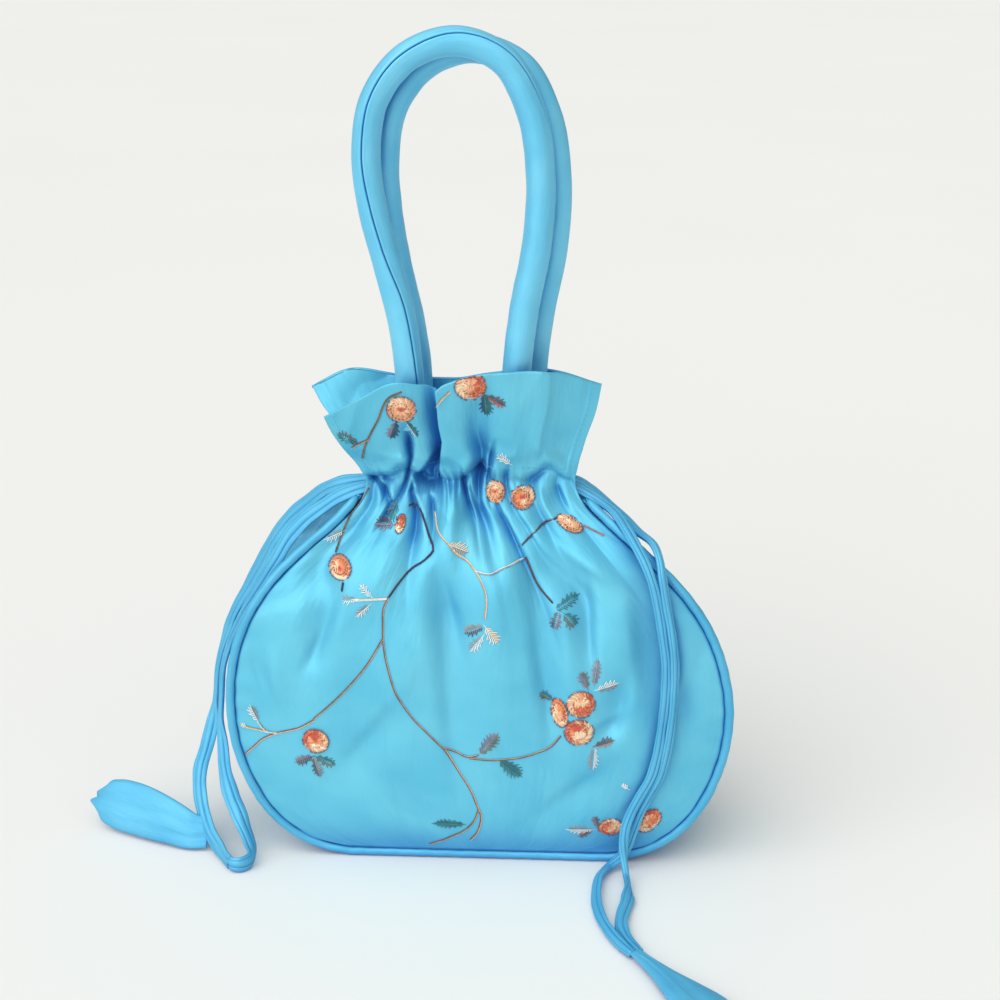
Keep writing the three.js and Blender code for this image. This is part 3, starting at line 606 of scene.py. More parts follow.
# Each fold has a power that sets its form across: 1.2 is a crisp crease, 2 is soft and 4 is flat-bottomed.
# Its rows follow it down the cloth: height, place, depth, width to its left and width to its right.
# A negative depth is a ridge.
FRONT_FOLDS = [
    # the deep valley left of the middle: it falls in slowly from the left, and its right lip stands over it
    (1.3, [(217, -0.205, 6, 0.11, 0.016), (204, -0.19, 9, 0.12, 0.016), (190, -0.175, 11, 0.11, 0.018),
           (180, -0.23, 12, 0.07, 0.02), (172, -0.285, 10, 0.06, 0.025), (166, -0.3, 4, 0.06, 0.04),
           (160, -0.31, 0, 0.06, 0.05)]),
    # the pocket that opens under the left flap
    (4, [(187, -0.22, 0, 0.02, 0.015), (183, -0.25, 5, 0.035, 0.025), (177, -0.31, 8, 0.07, 0.05),
         (172, -0.39, 8, 0.1, 0.08), (168, -0.43, 5, 0.1, 0.09), (164, -0.45, 0, 0.1, 0.1)]),
    # the pinch under the left bud
    (1.2, [(202, -0.455, 0, 0.08, 0.05), (193, -0.465, 5.5, 0.075, 0.045), (187, -0.475, 8, 0.05, 0.024),
           (181, -0.5, 6, 0.022, 0.013), (175, -0.56, 5, 0.018, 0.013), (168, -0.62, 4.5, 0.022, 0.016),
           (160, -0.68, 4, 0.05, 0.04), (142, -0.72, 0, 0.06, 0.06)]),
    # puckers that meet in a V at the left end of the channel
    (1.2, [(173, -0.98, 0, 0.02, 0.02), (169, -0.93, 4, 0.02, 0.025), (164, -0.82, 5.5, 0.025, 0.03),
           (159, -0.72, 5.5, 0.035, 0.03), (150, -0.67, 3, 0.05, 0.05), (130, -0.62, 0, 0.07, 0.06)]),
    (1.5, [(168, -0.97, 0, 0.05, 0.04), (160, -0.9, 3.5, 0.05, 0.05), (148, -0.84, 3.8, 0.07, 0.07),
           (130, -0.79, 2, 0.09, 0.09), (105, -0.75, 0, 0.1, 0.1)]),
    # the dark valley below the pocket
    (1.3, [(170, -0.56, 0, 0.02, 0.02), (164, -0.56, 6, 0.03, 0.022), (156, -0.46, 8, 0.045, 0.03),
           (149, -0.41, 7.5, 0.05, 0.04), (140, -0.37, 4.5, 0.06, 0.05), (124, -0.32, 2, 0.08, 0.07),
           (98, -0.27, 0, 0.1, 0.1)]),
    (1.2, [(166, -0.4, 0, 0.02, 0.02), (160, -0.35, 4.5, 0.03, 0.025), (152, -0.29, 4, 0.04, 0.03),
           (138, -0.25, 0, 0.05, 0.05)]),
    # the full ridge right of the deep valley
    (2, [(170, -0.18, 0, 0.09, 0.08), (166, -0.17, -3.5, 0.09, 0.07), (158, -0.17, -4.5, 0.1, 0.08),
         (147, -0.15, -3.2, 0.12, 0.1), (120, -0.11, 0, 0.12, 0.1)]),
    # two narrow folds in the middle
    (1.2, [(173, -0.07, 0, 0.02, 0.015), (168, -0.06, 5, 0.022, 0.016), (160, -0.02, 6.5, 0.028, 0.02),
           (153, 0.02, 4.5, 0.035, 0.028), (138, 0.06, 0, 0.05, 0.05)]),
    (1.2, [(171, 0, 0, 0.015, 0.015), (166, 0.005, 3.5, 0.018, 0.018), (157, 0.06, 4, 0.022, 0.02),
           (148, 0.1, 0, 0.03, 0.03)]),
    # the wide valley in the right half of the frill
    (1.7, [(217, 0.12, 1.5, 0.15, 0.14), (204, 0.11, 4, 0.13, 0.14), (192, 0.1, 7, 0.1, 0.12),
           (183, 0.12, 9.5, 0.07, 0.075), (176, 0.12, 10, 0.05, 0.05), (170, 0.08, 9, 0.035, 0.04),
           (162, 0.07, 6, 0.035, 0.035), (152, 0.1, 4, 0.05, 0.05), (122, 0.147, 2, 0.08, 0.08),
           (92, 0.17, 0, 0.09, 0.09)]),
    (1.2, [(189, 0.25, 0, 0.03, 0.03), (181, 0.215, 4.5, 0.025, 0.02), (173, 0.185, 6, 0.02, 0.02),
           (166, 0.165, 4.5, 0.02, 0.02), (157, 0.17, 0, 0.03, 0.03)]),
    # the long crisp crease that runs down to the right
    (1.2, [(176, 0.25, 0, 0.03, 0.02), (168, 0.22, 4.5, 0.035, 0.02), (160, 0.235, 6, 0.045, 0.022),
           (150, 0.27, 6, 0.055, 0.025), (142, 0.29, 5, 0.06, 0.028), (120, 0.33, 2.5, 0.07, 0.03),
           (90, 0.37, 0, 0.08, 0.05)]),
    (1.3, [(178, 0.37, 0, 0.03, 0.025), (171, 0.345, 4.5, 0.035, 0.025), (163, 0.36, 5, 0.045, 0.03),
           (153, 0.4, 3.5, 0.06, 0.045), (132, 0.43, 0, 0.06, 0.05)]),
    (2, [(175, 0.48, 0, 0.07, 0.06), (166, 0.476, -2.5, 0.07, 0.06), (155, 0.45, -1.6, 0.08, 0.08),
         (136, 0.45, 0, 0.08, 0.08)]),
    # soft valleys of the right shoulder
    (1.5, [(174, 0.6, 0, 0.05, 0.04), (166, 0.59, 4, 0.055, 0.04), (156, 0.56, 4.5, 0.08, 0.06),
           (145, 0.54, 4.5, 0.1, 0.08), (125, 0.53, 3, 0.11, 0.1), (98, 0.53, 1, 0.12, 0.1),
           (76, 0.52, 0, 0.12, 0.1)]),
    (1.4, [(173, 0.84, 0, 0.05, 0.04), (166, 0.83, 3.5, 0.05, 0.04), (155, 0.82, 3.5, 0.07, 0.05),
           (140, 0.8, 2.6, 0.1, 0.08), (112, 0.8, 0, 0.1, 0.08)]),
    # the upright fold in the right half of the frill, and the plane that turns away beyond it
    (1.4, [(217, 0.63, -1.5, 0.1, 0.03), (200, 0.64, -2, 0.1, 0.03), (184, 0.63, -1.5, 0.1, 0.04),
           (174, 0.6, 0, 0.1, 0.05)]),
    (2, [(217, 0.86, 2.5, 0.2, 0.3), (190, 0.88, 3, 0.2, 0.3), (176, 0.88, 2, 0.16, 0.2),
         (167, 0.86, 0, 0.16, 0.2)]),
]
BACK_FOLDS = [
    (1.3, [(200, -0.8, 0, 0.09, 0.07), (180, -0.8, 2.5, 0.09, 0.07), (167, -0.8, 3.5, 0.07, 0.05),
           (150, -0.78, 2.5, 0.08, 0.07), (122, -0.76, 0, 0.09, 0.08)]),
    (1.2, [(182, -0.55, 0, 0.06, 0.05), (167, -0.55, 4, 0.05, 0.04), (150, -0.5, 3, 0.06, 0.05),
           (116, -0.46, 0, 0.08, 0.06)]),
    (1.2, [(175, -0.33, 0, 0.04, 0.03), (167, -0.33, 2.5, 0.04, 0.03), (152, -0.3, 2, 0.05, 0.04),
           (130, -0.3, 0, 0.06, 0.05)]),
    (1.3, [(217, -0.05, 2, 0.12, 0.1), (190, -0.05, 4, 0.1, 0.07), (167, -0.06, 5, 0.06, 0.05),
           (148, -0.08, 3.5, 0.07, 0.06), (112, -0.08, 0, 0.08, 0.08)]),
    (1.3, [(176, 0.3, 0, 0.05, 0.04), (167, 0.3, 3.5, 0.05, 0.04), (150, 0.34, 3.5, 0.06, 0.04),
           (106, 0.4, 0, 0.08, 0.06)]),
    (1.3, [(190, 0.52, 0, 0.08, 0.06), (167, 0.5, 3.5, 0.05, 0.05), (150, 0.5, 2.5, 0.07, 0.06),
           (125, 0.52, 0, 0.08, 0.07)]),
    (1.3, [(182, 0.75, 0, 0.07, 0.06), (167, 0.74, 3, 0.06, 0.05), (148, 0.74, 2.5, 0.08, 0.07),
           (118, 0.76, 0, 0.09, 0.08)]),
]
# soft dents of the front's body: place, height, half length, half width, slant in degrees and depth.
# A negative depth is a bulge.
FRONT_DENTS = [
    (-62, 138, 15, 12, 258, 6.0), (-65, 112, 17, 8, 248, 4.4), (-69, 99, 10, 7, 62, 2.8),
    (-95, 90, 11, 4, 110, 3.0), (-87, 88, 13, 6, 100, -2.6), (-84, 116, 15, 9, 20, -2.6),
    (-41, 134, 15, 10, 70, -2.8), (-45, 62, 26, 9, 50, 2.8), (-13, 122, 20, 9, 286, 4.6),
    (4, 148, 10, 5, 115, 3.6), (9, 131, 15, 10, 100, -2.8), (-12, 84, 40, 9, 94, 2.8),
    (33, 134, 15, 9, 318, 6.0), (46, 139, 16, 6, 150, -3.0), (46, 112, 20, 7, 275, 4.6),
    (63, 106, 22, 9, 275, -3.0), (28, 94, 30, 8, 98, 3.8), (78, 106, 36, 14, 276, 5.5),
    (60, 80, 11, 8, 258, 4.4), (56, 69, 8, 5, 25, 2.8), (40, 36, 22, 8, 40, 2.0),
    (-30, 30, 24, 8, 140, 2.0), (93, 96, 18, 6, 70, 2.8), (88, 74, 14, 5, 100, 2.2),
]
DENT_CRISP = 0.5              # width of a dent's crisp side, as a share of its soft side's
# embroidered places of the front that stay nearly flat: place, height and radius
STIFF_PLACES = [
    (6.5, 165.5, 7), (18, 163.5, 7.5), (38, 153.5, 7), (-33, 153, 5), (-58, 135.5, 7),
    (-31.5, 203, 7), (-3, 212, 7),
]
STIFFNESS = 0.85              # share of the folds that the stitching takes out
LIP_LEAN = 2.6                # how far the deep valley's right lip leans over it
LATTICE = 64                  # points along each side of the lattice of random heights


def section_at(z):
    """The table's columns at the heights z."""
    return [smooth(z, SECTIONS[:, 0], column) for column in SECTIONS.T[1:]]


def climb_of(z):
    """Share of the way from the neck to the rim."""
    return np.clip((z - NECK) / (RIM - NECK), 0, 1)


def rim_rise(side, s, z):
    """How far the cloth is raised on its way to its rim's own line."""
    rim = np.array(FRONT_RIM if side < 0 else BACK_RIM, float)
    return climb_of(z) * smooth(s, rim[:, 0], rim[:, 1])


def deep_folds(folds, s, z):
    """Depth of the named folds. Place, depth and widths follow each fold's rows with the height.
    Across the fold the depth falls off as e to the minus distance to the fold's power, with a width
    of its own on each side."""
    depth = np.zeros_like(s)
    for power, fold in folds:
        rows = np.array(fold[::-1], float)
        place, deep, left, right = (np.interp(z, rows[:, 0], column) for column in rows.T[1:])
        inside = smoothstep(z, rows[0, 0] - 0.1, rows[0, 0]) * (z <= rows[-1, 0] + 0.1)
        far = np.where(s < place, (place - s) / left, (s - place) / right)
        depth += deep * inside * np.exp(-far ** power)
    return depth


def lip_lean(s, z):
    """How far the deep valley's right lip leans to the left over it: most just right of the valley's
    bottom, and gone a tenth of the panel further right."""
    rows = np.array(FRONT_FOLDS[0][1][::-1], float)
    far = s - np.interp(z, rows[:, 0], rows[:, 1])
    reach = LIP_LEAN * smoothstep(z, 166, 178) * (1 - 0.6 * smoothstep(z, 195, RIM))
    return reach * smoothstep(far, 0.008, 0.04) * (1 - smoothstep(far, 0.04, 0.2))


def fine_gathers(s, z, turn):
    """Small uneven pleats at the neck: 1 - |sin|, with round backs and crisp bottoms.
    Their spacing, height and reach all wander, and turn shifts the pattern between front and back.
    The waves' lengths don't divide each other, so no two pleats are alike."""
    wave = np.pi * (7 * s + 1.3 * np.sin(4.1 * s + 0.7 + turn) + 0.7 * np.sin(9.7 * s + 2.1 + turn))
    height = 2.2 + 1.4 * np.sin(6.3 * s + 1 + turn)
    reach = 7.5 + 3 * np.sin(15 * s + turn) + 2.5 * np.sin(7.3 * s + 2 * turn)
    below = np.exp(-(np.maximum(NECK - z, 0) / reach) ** 1.5)
    above = np.exp(-(np.maximum(z - NECK, 0) / 7) ** 1.7)
    return height * (1 - np.abs(np.sin(wave + 0.05 * (z - NECK)))) * below * above


def cinch(s, z, turn):
    """The drawn channel: a crisp groove whose height and depth wander, with a puffed roll under it and
    the frill bulging over it."""
    height = 170.5 + 2.4 * np.sin(9 * s + 1 + turn) + 1.4 * np.sin(19 * s + turn)
    groove = (3.2 + 1.8 * np.sin(13 * s + 0.5 + turn)) * np.exp(-(np.abs(z - height) / 1.8) ** 1.3)
    roll = (1.3 + 0.8 * np.sin(11 * s + 2 + turn)) * np.exp(-((z - height + 9) / 5) ** 2)
    over = (1.3 + 1.1 * np.sin(8 * s + 0.6 + turn)) * np.exp(-((z - height - 5.5) / 3.6) ** 2)
    return groove - roll - over


def ridges(x, z, wide, tall, seed):
    """Crumpled cloth: random heights on a lattice of wide by tall cells, mixed smoothly between its points,
    and folded at zero, so lines of equal height become crisp ridges. The mean is about zero."""
    lattice = np.random.default_rng(seed).uniform(-1, 1, (LATTICE, LATTICE))
    u = x / wide + (LATTICE / 2 - 0.5)
    v = z / tall + 3.5
    i = np.floor(u).astype(int)
    j = np.floor(v).astype(int)
    a = smoothstep(u - i, 0, 1)
    b = smoothstep(v - j, 0, 1)
    low = lattice[i, j] * (1 - a) + lattice[i + 1, j] * a
    high = lattice[i, j + 1] * (1 - a) + lattice[i + 1, j + 1] * a
    return 0.3 - np.abs(low * (1 - b) + high * b)


def stiffened(x, z):
    """How freely the front folds: 1 on bare cloth, and close to 0 in the middle of an embroidered place."""
    free = np.ones_like(x)
    for place, height, radius in STIFF_PLACES:
        free *= 1 - STIFFNESS * np.exp(-((x - place) ** 2 + (z - height) ** 2) / radius ** 2)
    return free


def dents(x, z):
    """The front's dents, as heights. Each is a bell: its depth times e to the minus squares of the distances
    along and aside of it, in its own half lengths and half widths."""
    height = np.zeros_like(x)
    for place, middle, long, wide, slant, deep in FRONT_DENTS:
        angle = math.radians(slant)
        along = (x - place) * math.cos(angle) + (z - middle) * math.sin(angle)
        aside = (z - middle) * math.cos(angle) - (x - place) * math.sin(angle)
        near = np.where(aside > 0, wide * DENT_CRISP, wide)
        height -= deep * np.exp(-(along / long) ** 2 - (aside / near) ** 2)
    return height


def slack(s, z, x, turn):
    """The cloth's slow unevenness: long soft drapes below the gathers, crumples of three sizes on body, neck
    and frill, puckers along the seams, and at the front the dents of the table above."""
    seed = int(turn) + 4
    drape = 1.2 * np.sin(13 * s + 2.2 * np.sin(2.3 * s + turn) + turn) * band(z, 50, 120, 145, 165)
    drape = drape * (1 - s ** 4)
    inside = 1 - s ** 6
    body = 0.9 * ridges(x + 0.3 * z, z, 21, 34, seed) * inside * band(z, 8, 30, 135, 155)
    neck = 2.2 * ridges(x + 0.5 * z, z, 9, 13, seed + 1) * band(z, 140, 158, 178, 192)
    frill = 1.3 * ridges(x - 0.4 * z, z, 15, 24, seed + 2) * smoothstep(z, 176, 190)
    seam_run = np.where(z < 20, 60 * s, z)
    pucker = 0.25 * np.sin(seam_run / 1.9 + 1.7 * np.sin(seam_run / 11 + turn))
    pucker = pucker * smoothstep(np.abs(s), 0.88, 0.98) * band(z, 10, 26, 150, 160)
    total = drape + body + neck + frill + pucker
    if turn == 0:
        total = total + dents(x, z) * inside
    return total


def panel_points(side, s, z):
    """The outer face of a panel. side is -1 for the front and 1 for the back.
    x is the section's middle plus s times its half width. The depth is the seam's depth mixed from left to
    right, plus the swell times (1 - |s| to the power CROWN), less the folds. z is raised towards the rim's
    line. The right half of the back is drawn in by its own columns of the table."""
    s, z = np.broadcast_arrays(np.asarray(s, float), np.asarray(z, float))
    front = side < 0
    half, middle, left, right, front_swell, back_swell, tuck_x, tuck_y = section_at(z)
    edge = np.minimum(np.abs(s), 1)
    if not front:
        right = right - tuck_y
    flat_x = middle + half * s
    depth = left + (right - left) * (s + 1) / 2
    depth = depth + (front_swell if front else back_swell) * (1 - edge ** CROWN) + HALF_WALL
    turn = 0.0 if front else 2.0
    folds = deep_folds(FRONT_FOLDS if front else BACK_FOLDS, s, z)
    gathers = (fine_gathers(s, z, turn) + cinch(s, z, turn)) * (1 - edge ** 8)
    free = stiffened(flat_x, z) if front else 1
    depth = depth - (folds + gathers - slack(s, z, flat_x, turn)) * free
    sewn = 1 - smoothstep(z, 156, SEAM_END)
    depth = depth - SEAM_TUCK * smoothstep(np.abs(s), 0.993, 1.005) * sewn
    hem = 1 - smoothstep((1 - edge) * half, *HEM_EDGE)
    depth = depth + HEM_RISE * hem * (1 - sewn) * smoothstep(z, 166, 172)
    top = np.clip((z - RIM + RIM_ROUND) / RIM_ROUND, 0, 1)
    depth = depth - RIM_INSET * (1 - np.sqrt(1 - 0.99 * top ** 2))
    if front:
        x = flat_x - lip_lean(s, z)
    else:
        x = flat_x - BACK_SPREAD * climb_of(z) * np.clip(-s, 0, 1) - tuck_x * np.clip(s, 0, 1) ** 2
    return np.stack([x, side * depth, z + rim_rise(side, s, z)], -1)

# %% panels
SEAM_OVERLAP = 1.005          # the panels reach just under the piping
# lowest and highest height of a band and its number of rows
ROW_BANDS = [(FOOT, 14, 9), (14, 145, 70), (145, RIM - RIM_ROUND, 80)]
RIM_ROWS = 5
FRONT_COLUMNS = 287
BACK_COLUMNS = 241


def panel_piece(name, node, side, columns):
    """A panel as a grid. Its rows are closest at the foot, at the neck and at the rim."""
    bands = [np.linspace(low, high, count, endpoint=False) for low, high, count in ROW_BANDS]
    rows = np.concatenate([*bands, np.linspace(RIM - RIM_ROUND, RIM, RIM_ROWS)])
    s = np.linspace(-SEAM_OVERLAP, SEAM_OVERLAP, columns)
    if side > 0:
        s = s[::-1]
    points = panel_points(side, s[None, :], rows[:, None])
    piece = grid_piece(name, points, PANEL_SATIN)
    add_wall(piece, CLOTH_WALL)
    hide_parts(node)
    area = cloth_area(piece)
    print(f"{name}: {area * 1e4:.0f} square centimetres of cloth")
    return piece, area


front_panel, front_area = panel_piece("front_cloth", "front_panel", -1, FRONT_COLUMNS)
back_panel, back_area = panel_piece("back_cloth", "back_panel", 1, BACK_COLUMNS)

# %% [markdown]
# ## Gusset and piping
#
# A strip runs down one side, under the foot and up the other side, and gives the pouch its depth.
# A covered cord, the piping, is caught in each seam between the strip and a panel.
# Both follow the panels' edges. At each station of an edge an outward direction is found in the plane of the
# panel, the piping's middle lies one radius further out, and the strip spans from one piping to the other
# with a slight swell or sink. The back's right shoulder is drawn in, so the two edges part there.
# Under the foot the strip is flat, since the pouch stands on it.

# %% seam lines
PIPING_RADIUS = 1.95
PIPING_STAND = 2.15           # from the panel's edge to the middle of the piping
SEAM_STATIONS = 420
FOOT_POINTS = 7               # points of the seam line along the foot
# swell of the strip between the pipings, from the foot upwards
LEFT_SWELL = (1.3, 1.4, 1.4, 1.4, 1.3, 1.2, 1.2, 0.5, -1, -1.5, -1, -1.5, -3)
RIGHT_SWELL = (1.3, 1.8, 4, 5.5, 5, 2.5, 1, 0.5, 0, 0, 0, -1, -3)

# columns: x of the front and of the back edge, depth of the front and of the back edge, height and swell
height, half, middle, left, right, _, _, tuck_x, tuck_y = SECTIONS[:len(LEFT_SWELL)].T
left_edge = np.stack([middle - half, middle - half, left, left, height, LEFT_SWELL], 1)[::-1]
right_edge = np.stack([middle + half, middle + half - tuck_x, right, right - tuck_y, height, RIGHT_SWELL], 1)
foot_edge = np.linspace(left_edge[-1], right_edge[0], FOOT_POINTS)[1:-1]
seam_table = smooth_path(np.concatenate([left_edge, foot_edge, right_edge]), SEAM_STATIONS)


def seam_side(side):
    """A panel's edge: the piping's middle line, and the outward directions in the plane of the panel."""
    column = 0 if side < 0 else 1
    x = seam_table[:, column]
    z = seam_table[:, 4]
    along = unit(np.stack([np.gradient(x), np.gradient(z)], 1))
    outward = np.stack([along[:, 1], np.zeros(SEAM_STATIONS), -along[:, 0]], 1)
    line = np.stack([x, side * seam_table[:, 2 + column], z], 1) + outward * PIPING_STAND
    return line, outward


front_line, front_outward = seam_side(-1)
back_line, back_outward = seam_side(1)
seam_run = run_of(front_line)
print(f"front seam: {seam_run[-1]:.0f} mm")

# %% gusset
GUSSET_COLUMNS = 41
GUSSET_INSET = 1.3            # the strip's edges lie this far inside the pipings' middles
GUSSET_TUCK = 1.3             # and turn in by this much under them
GUSSET_SEED = 11


def gusset_points():
    """The strip's outer face: a mix of the two pipings' lines. Across it, the swell rises as 1 - |q| to the
    power 4 from its edges, and the last bit of each edge turns in under the piping.
    Ripples and crumples run over it on the sides."""
    q = np.linspace(-1, 1, GUSSET_COLUMNS)[None, :]
    share = ((q + 1) / 2)[..., None]
    inset = np.array([0, GUSSET_INSET, 0])
    points = (front_line + inset)[:, None] * (1 - share) + (back_line - inset)[:, None] * share
    outward = unit(front_outward[:, None] * (1 - share) + back_outward[:, None] * share)
    lift = seam_table[:, 5:] * (1 - q ** 4) + HALF_WALL
    on_side = smoothstep(seam_table[:, 4:5], 14, 40)
    run = seam_run[:, None]
    ripple = 0.35 * np.sin(run / 9.1 + 2 * np.sin(run / 31)) * (1 - q ** 2)
    ripple = ripple + 0.22 * np.sin(run / 2.3 + np.sin(run / 7)) * np.abs(q) ** 6
    ripple = ripple + 2.4 * ridges(30 * q + 0.6 * run, run, 19, 13, GUSSET_SEED) * (1 - q ** 4)
    tuck = GUSSET_TUCK * smoothstep(np.abs(q), 0.96, 1)
    points = points + outward * (lift + ripple * on_side - tuck)[..., None]
    points[..., 2] = np.maximum(points[..., 2], 0)
    return points


gusset_grid = gusset_points()
gusset = grid_piece("gusset_cloth", gusset_grid, GUSSET_SATIN)
add_wall(gusset, CLOTH_WALL)
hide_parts("gusset")

# %% piping
PIPING_SIDES = 20
PIPING_END = 6.0              # length over which each end narrows


def piping_piece(name, node, line, outward):
    """A covered cord: a circle carried along the seam line, which narrows to a round end where the seam
    stops. Its cover is cut on the slant, so it shows shallow slanting wrinkles: a wave in run plus angle."""
    path = np.array(line)
    path[:, 2] = np.maximum(path[:, 2], PIPING_RADIUS + LEAST_CLEAR)
    _, across, through = path_frame(path, outward)
    angle = turns(PIPING_SIDES)[None, :]
    run = run_of(path)[:, None]
    from_end = np.clip(np.minimum(run, run[-1] - run) / PIPING_END, 0, 1)
    radius = PIPING_RADIUS * np.sqrt(np.maximum(1 - (1 - from_end) ** 2, 0.01))
    radius = radius + 0.06 * np.sin(run / 1.3 + angle + 1.5 * np.sin(run / 9))
    section = np.stack([radius * np.cos(angle), radius * np.sin(angle)], -1)
    piece = grid_piece(name, sweep(path, across, through, section), PIPING_SATIN, wrap=True)
    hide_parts(node)


piping_piece("front_piping_cover", "front_piping", front_line, front_outward)
piping_piece("back_piping_cover", "back_piping", back_line, back_outward)

# %% [markdown]
# ## The handles
#
# Each handle is a satin tube stuffed with wadding, closed by one long seam, and sewn inside the frill.
# A stuffed tube isn't quite round: the seam pulls a narrow groove into it, and the cloth wrinkles where the
# tube bends. The section is worked out around the seam's own angle, with its points packed close to the
# groove, so a crisp line costs few faces. The angle follows the photograph: the seam wanders from the inner
# side of the left leg over the front to the outer side of the top.

# %% handles
HANDLE_RADIUS = 5.95
HANDLE_MEET = 6.05            # depth at which the two handles lean against each other
# place from the left, height, how far the handle leans to the middle,
# and the back handle's shift to the right
HANDLE_LOOP = np.array([
    (-28.5, 193, 0, 1), (-29, 214, 0.1, 1), (-31.5, 236, 0.3, 1), (-37.5, 261, 0.5, 2),
    (-43.5, 284, 0.7, 4.5), (-45.8, 306, 0.85, 6), (-42, 327, 1, 6.5), (-28, 344, 1, 6.5),
    (-8.7, 349.8, 1, 6.5), (9, 343, 1, 6.5), (20, 324, 1, 6.5), (24.3, 298, 0.85, 6.5),
    (23, 270, 0.6, 6.5), (18, 242, 0.35, 6.5), (15.2, 216, 0.1, 6.5), (15, 193, 0, 6.5),
], float)
LEFT_ROWS = 8                 # the loop's rows up to here belong to its left half
HANDLE_SEAT = 193             # height of the sewn ends
DROP_FULL = 260               # the back handle hangs lower by its full drop above this height
FRONT_SEAM = [(0, 40), (0.14, 30), (0.22, 3), (0.34, -12), (0.44, -22), (0.55, -46), (0.68, -75), (1, -105)]
BACK_SEAM = [(0, 180), (1, 180)]
HANDLE_RINGS = 300
# degrees round the tube from its seam, close together near it
AROUND_SEAM = np.concatenate([
    [-14, -10, -7, -5, -3.5, -2.2, -1.1, 0, 1.1, 2.2, 3.5, 5, 7, 10, 14.0], np.linspace(20, 340, 41),
])


def handle_piece(name, node, side, left_seat, right_seat, aside, drop, seam):
    """A handle: the loop's curve, and a circle carried along it. The groove is a narrow dip at the seam's
    angle with a raised lip on each side. Wrinkles are short waves along the tube, strongest on its
    inner side."""
    left_half = np.arange(len(HANDLE_LOOP)) < LEFT_ROWS
    seat = np.where(left_half, left_seat, right_seat)
    x, z, lean, shift = HANDLE_LOOP.T
    y = side * (seat + (HANDLE_MEET - seat) * lean)
    lowered = z + drop * smoothstep(z, HANDLE_SEAT, DROP_FULL)
    path = smooth_path(np.stack([x + aside * shift, y, lowered], 1), HANDLE_RINGS)
    _, across, through = path_frame(path, np.array([0, -1.0, 0]))
    share = np.linspace(0, 1, HANDLE_RINGS)
    run = run_of(path)[:, None]
    offset = np.radians(AROUND_SEAM)[None, :]
    away = np.degrees(np.abs((offset + np.pi) % (2 * np.pi) - np.pi))
    groove = 1.2 * np.exp(-(away / 2.3) ** 2) - 0.2 * np.exp(-((away - 9) / 5) ** 2)
    angle = offset + np.radians(mix_table(share, seam))[:, None]
    inner = 0.5 + 0.5 * np.sin(angle)
    wrinkle = 0.05 * np.sin(run / 2.2 + 1.6 * np.sin(run / 12) + angle) * inner
    lump = 0.1 * np.sin(run / 17 + 2 * np.sin(angle))
    pull = 0.05 * np.sin(run / 1.1) * np.exp(-(away / 16) ** 2)
    radius = HANDLE_RADIUS - groove + wrinkle + lump + pull
    section = np.stack([radius * np.cos(angle), radius * np.sin(angle)], -1)
    piece = grid_piece(name, sweep(path, across, through, section), HANDLE_SATIN, wrap=True)
    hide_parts(node)
    print(f"{name}: {run[-1, 0]:.0f} mm long")


handle_piece("front_handle_tube", "front_handle", -1, 13.9, 10.4, 0, 0, FRONT_SEAM)
handle_piece("back_handle_tube", "back_handle", 1, 12.7, 7, 1, -4, BACK_SEAM)

# %% [markdown]
# ## Embroidery on the front
#
# A flowering vine climbs over the front: thin couched stems, leaves in fishbone stitch and round rose buds
# with a raised heart. It was stitched before the pouch was gathered, so it dips into the folds with the
# cloth. Each stitch is a short bead of thread with a few dozen faces. Its two ends are given as places
# on the panel, x across and z up, and a search finds the panel's own s and z under them, so every stitch
# lies on the cloth from any side. A texture would be lighter, but it would lose the thread's relief.

# %% threads
THREADS = {
    "cream": thread("cream silk thread", "F7E6C6", "EFD3A6"),
    "peach": thread("peach silk thread", "EFBE98", "E6A67E"),
    "orange": thread("orange silk thread", "E59060", "DB7A4C"),
    "red": thread("brick red silk thread", "D9654A", "C6523A"),
    "brown": thread("brown silk thread", "7C5C48", "604838"),
    "dark": thread("dark bark silk thread", "39394A", "262A3E"),
    "tan": thread("tan silk thread", "C0A884", "A68E6C"),
    "white": thread("white silk thread", "F4F4EA", "DDE6DE"),
    "green": thread("deep green silk thread", "38897A", "286E67"),
    "mauve": thread("mauve silk thread", "A48C92", "88727A"),
    "olive": thread("olive silk thread", "85814F", "6A6A45"),
    "grey": thread("grey silk thread", "AEB4B0", "8C938F"),
}
stitch_book = {colour: [] for colour in THREADS}


def note(colour, starts, ends, height, radius):
    """Puts stitches into the book of a thread: rows of start x, start z, end x, end z, height and radius."""
    starts = np.atleast_2d(starts)
    ends = np.atleast_2d(ends)
    extra = np.broadcast_to([height, radius], starts.shape)
    stitch_book[colour].append(np.concatenate([starts, ends, extra], 1))

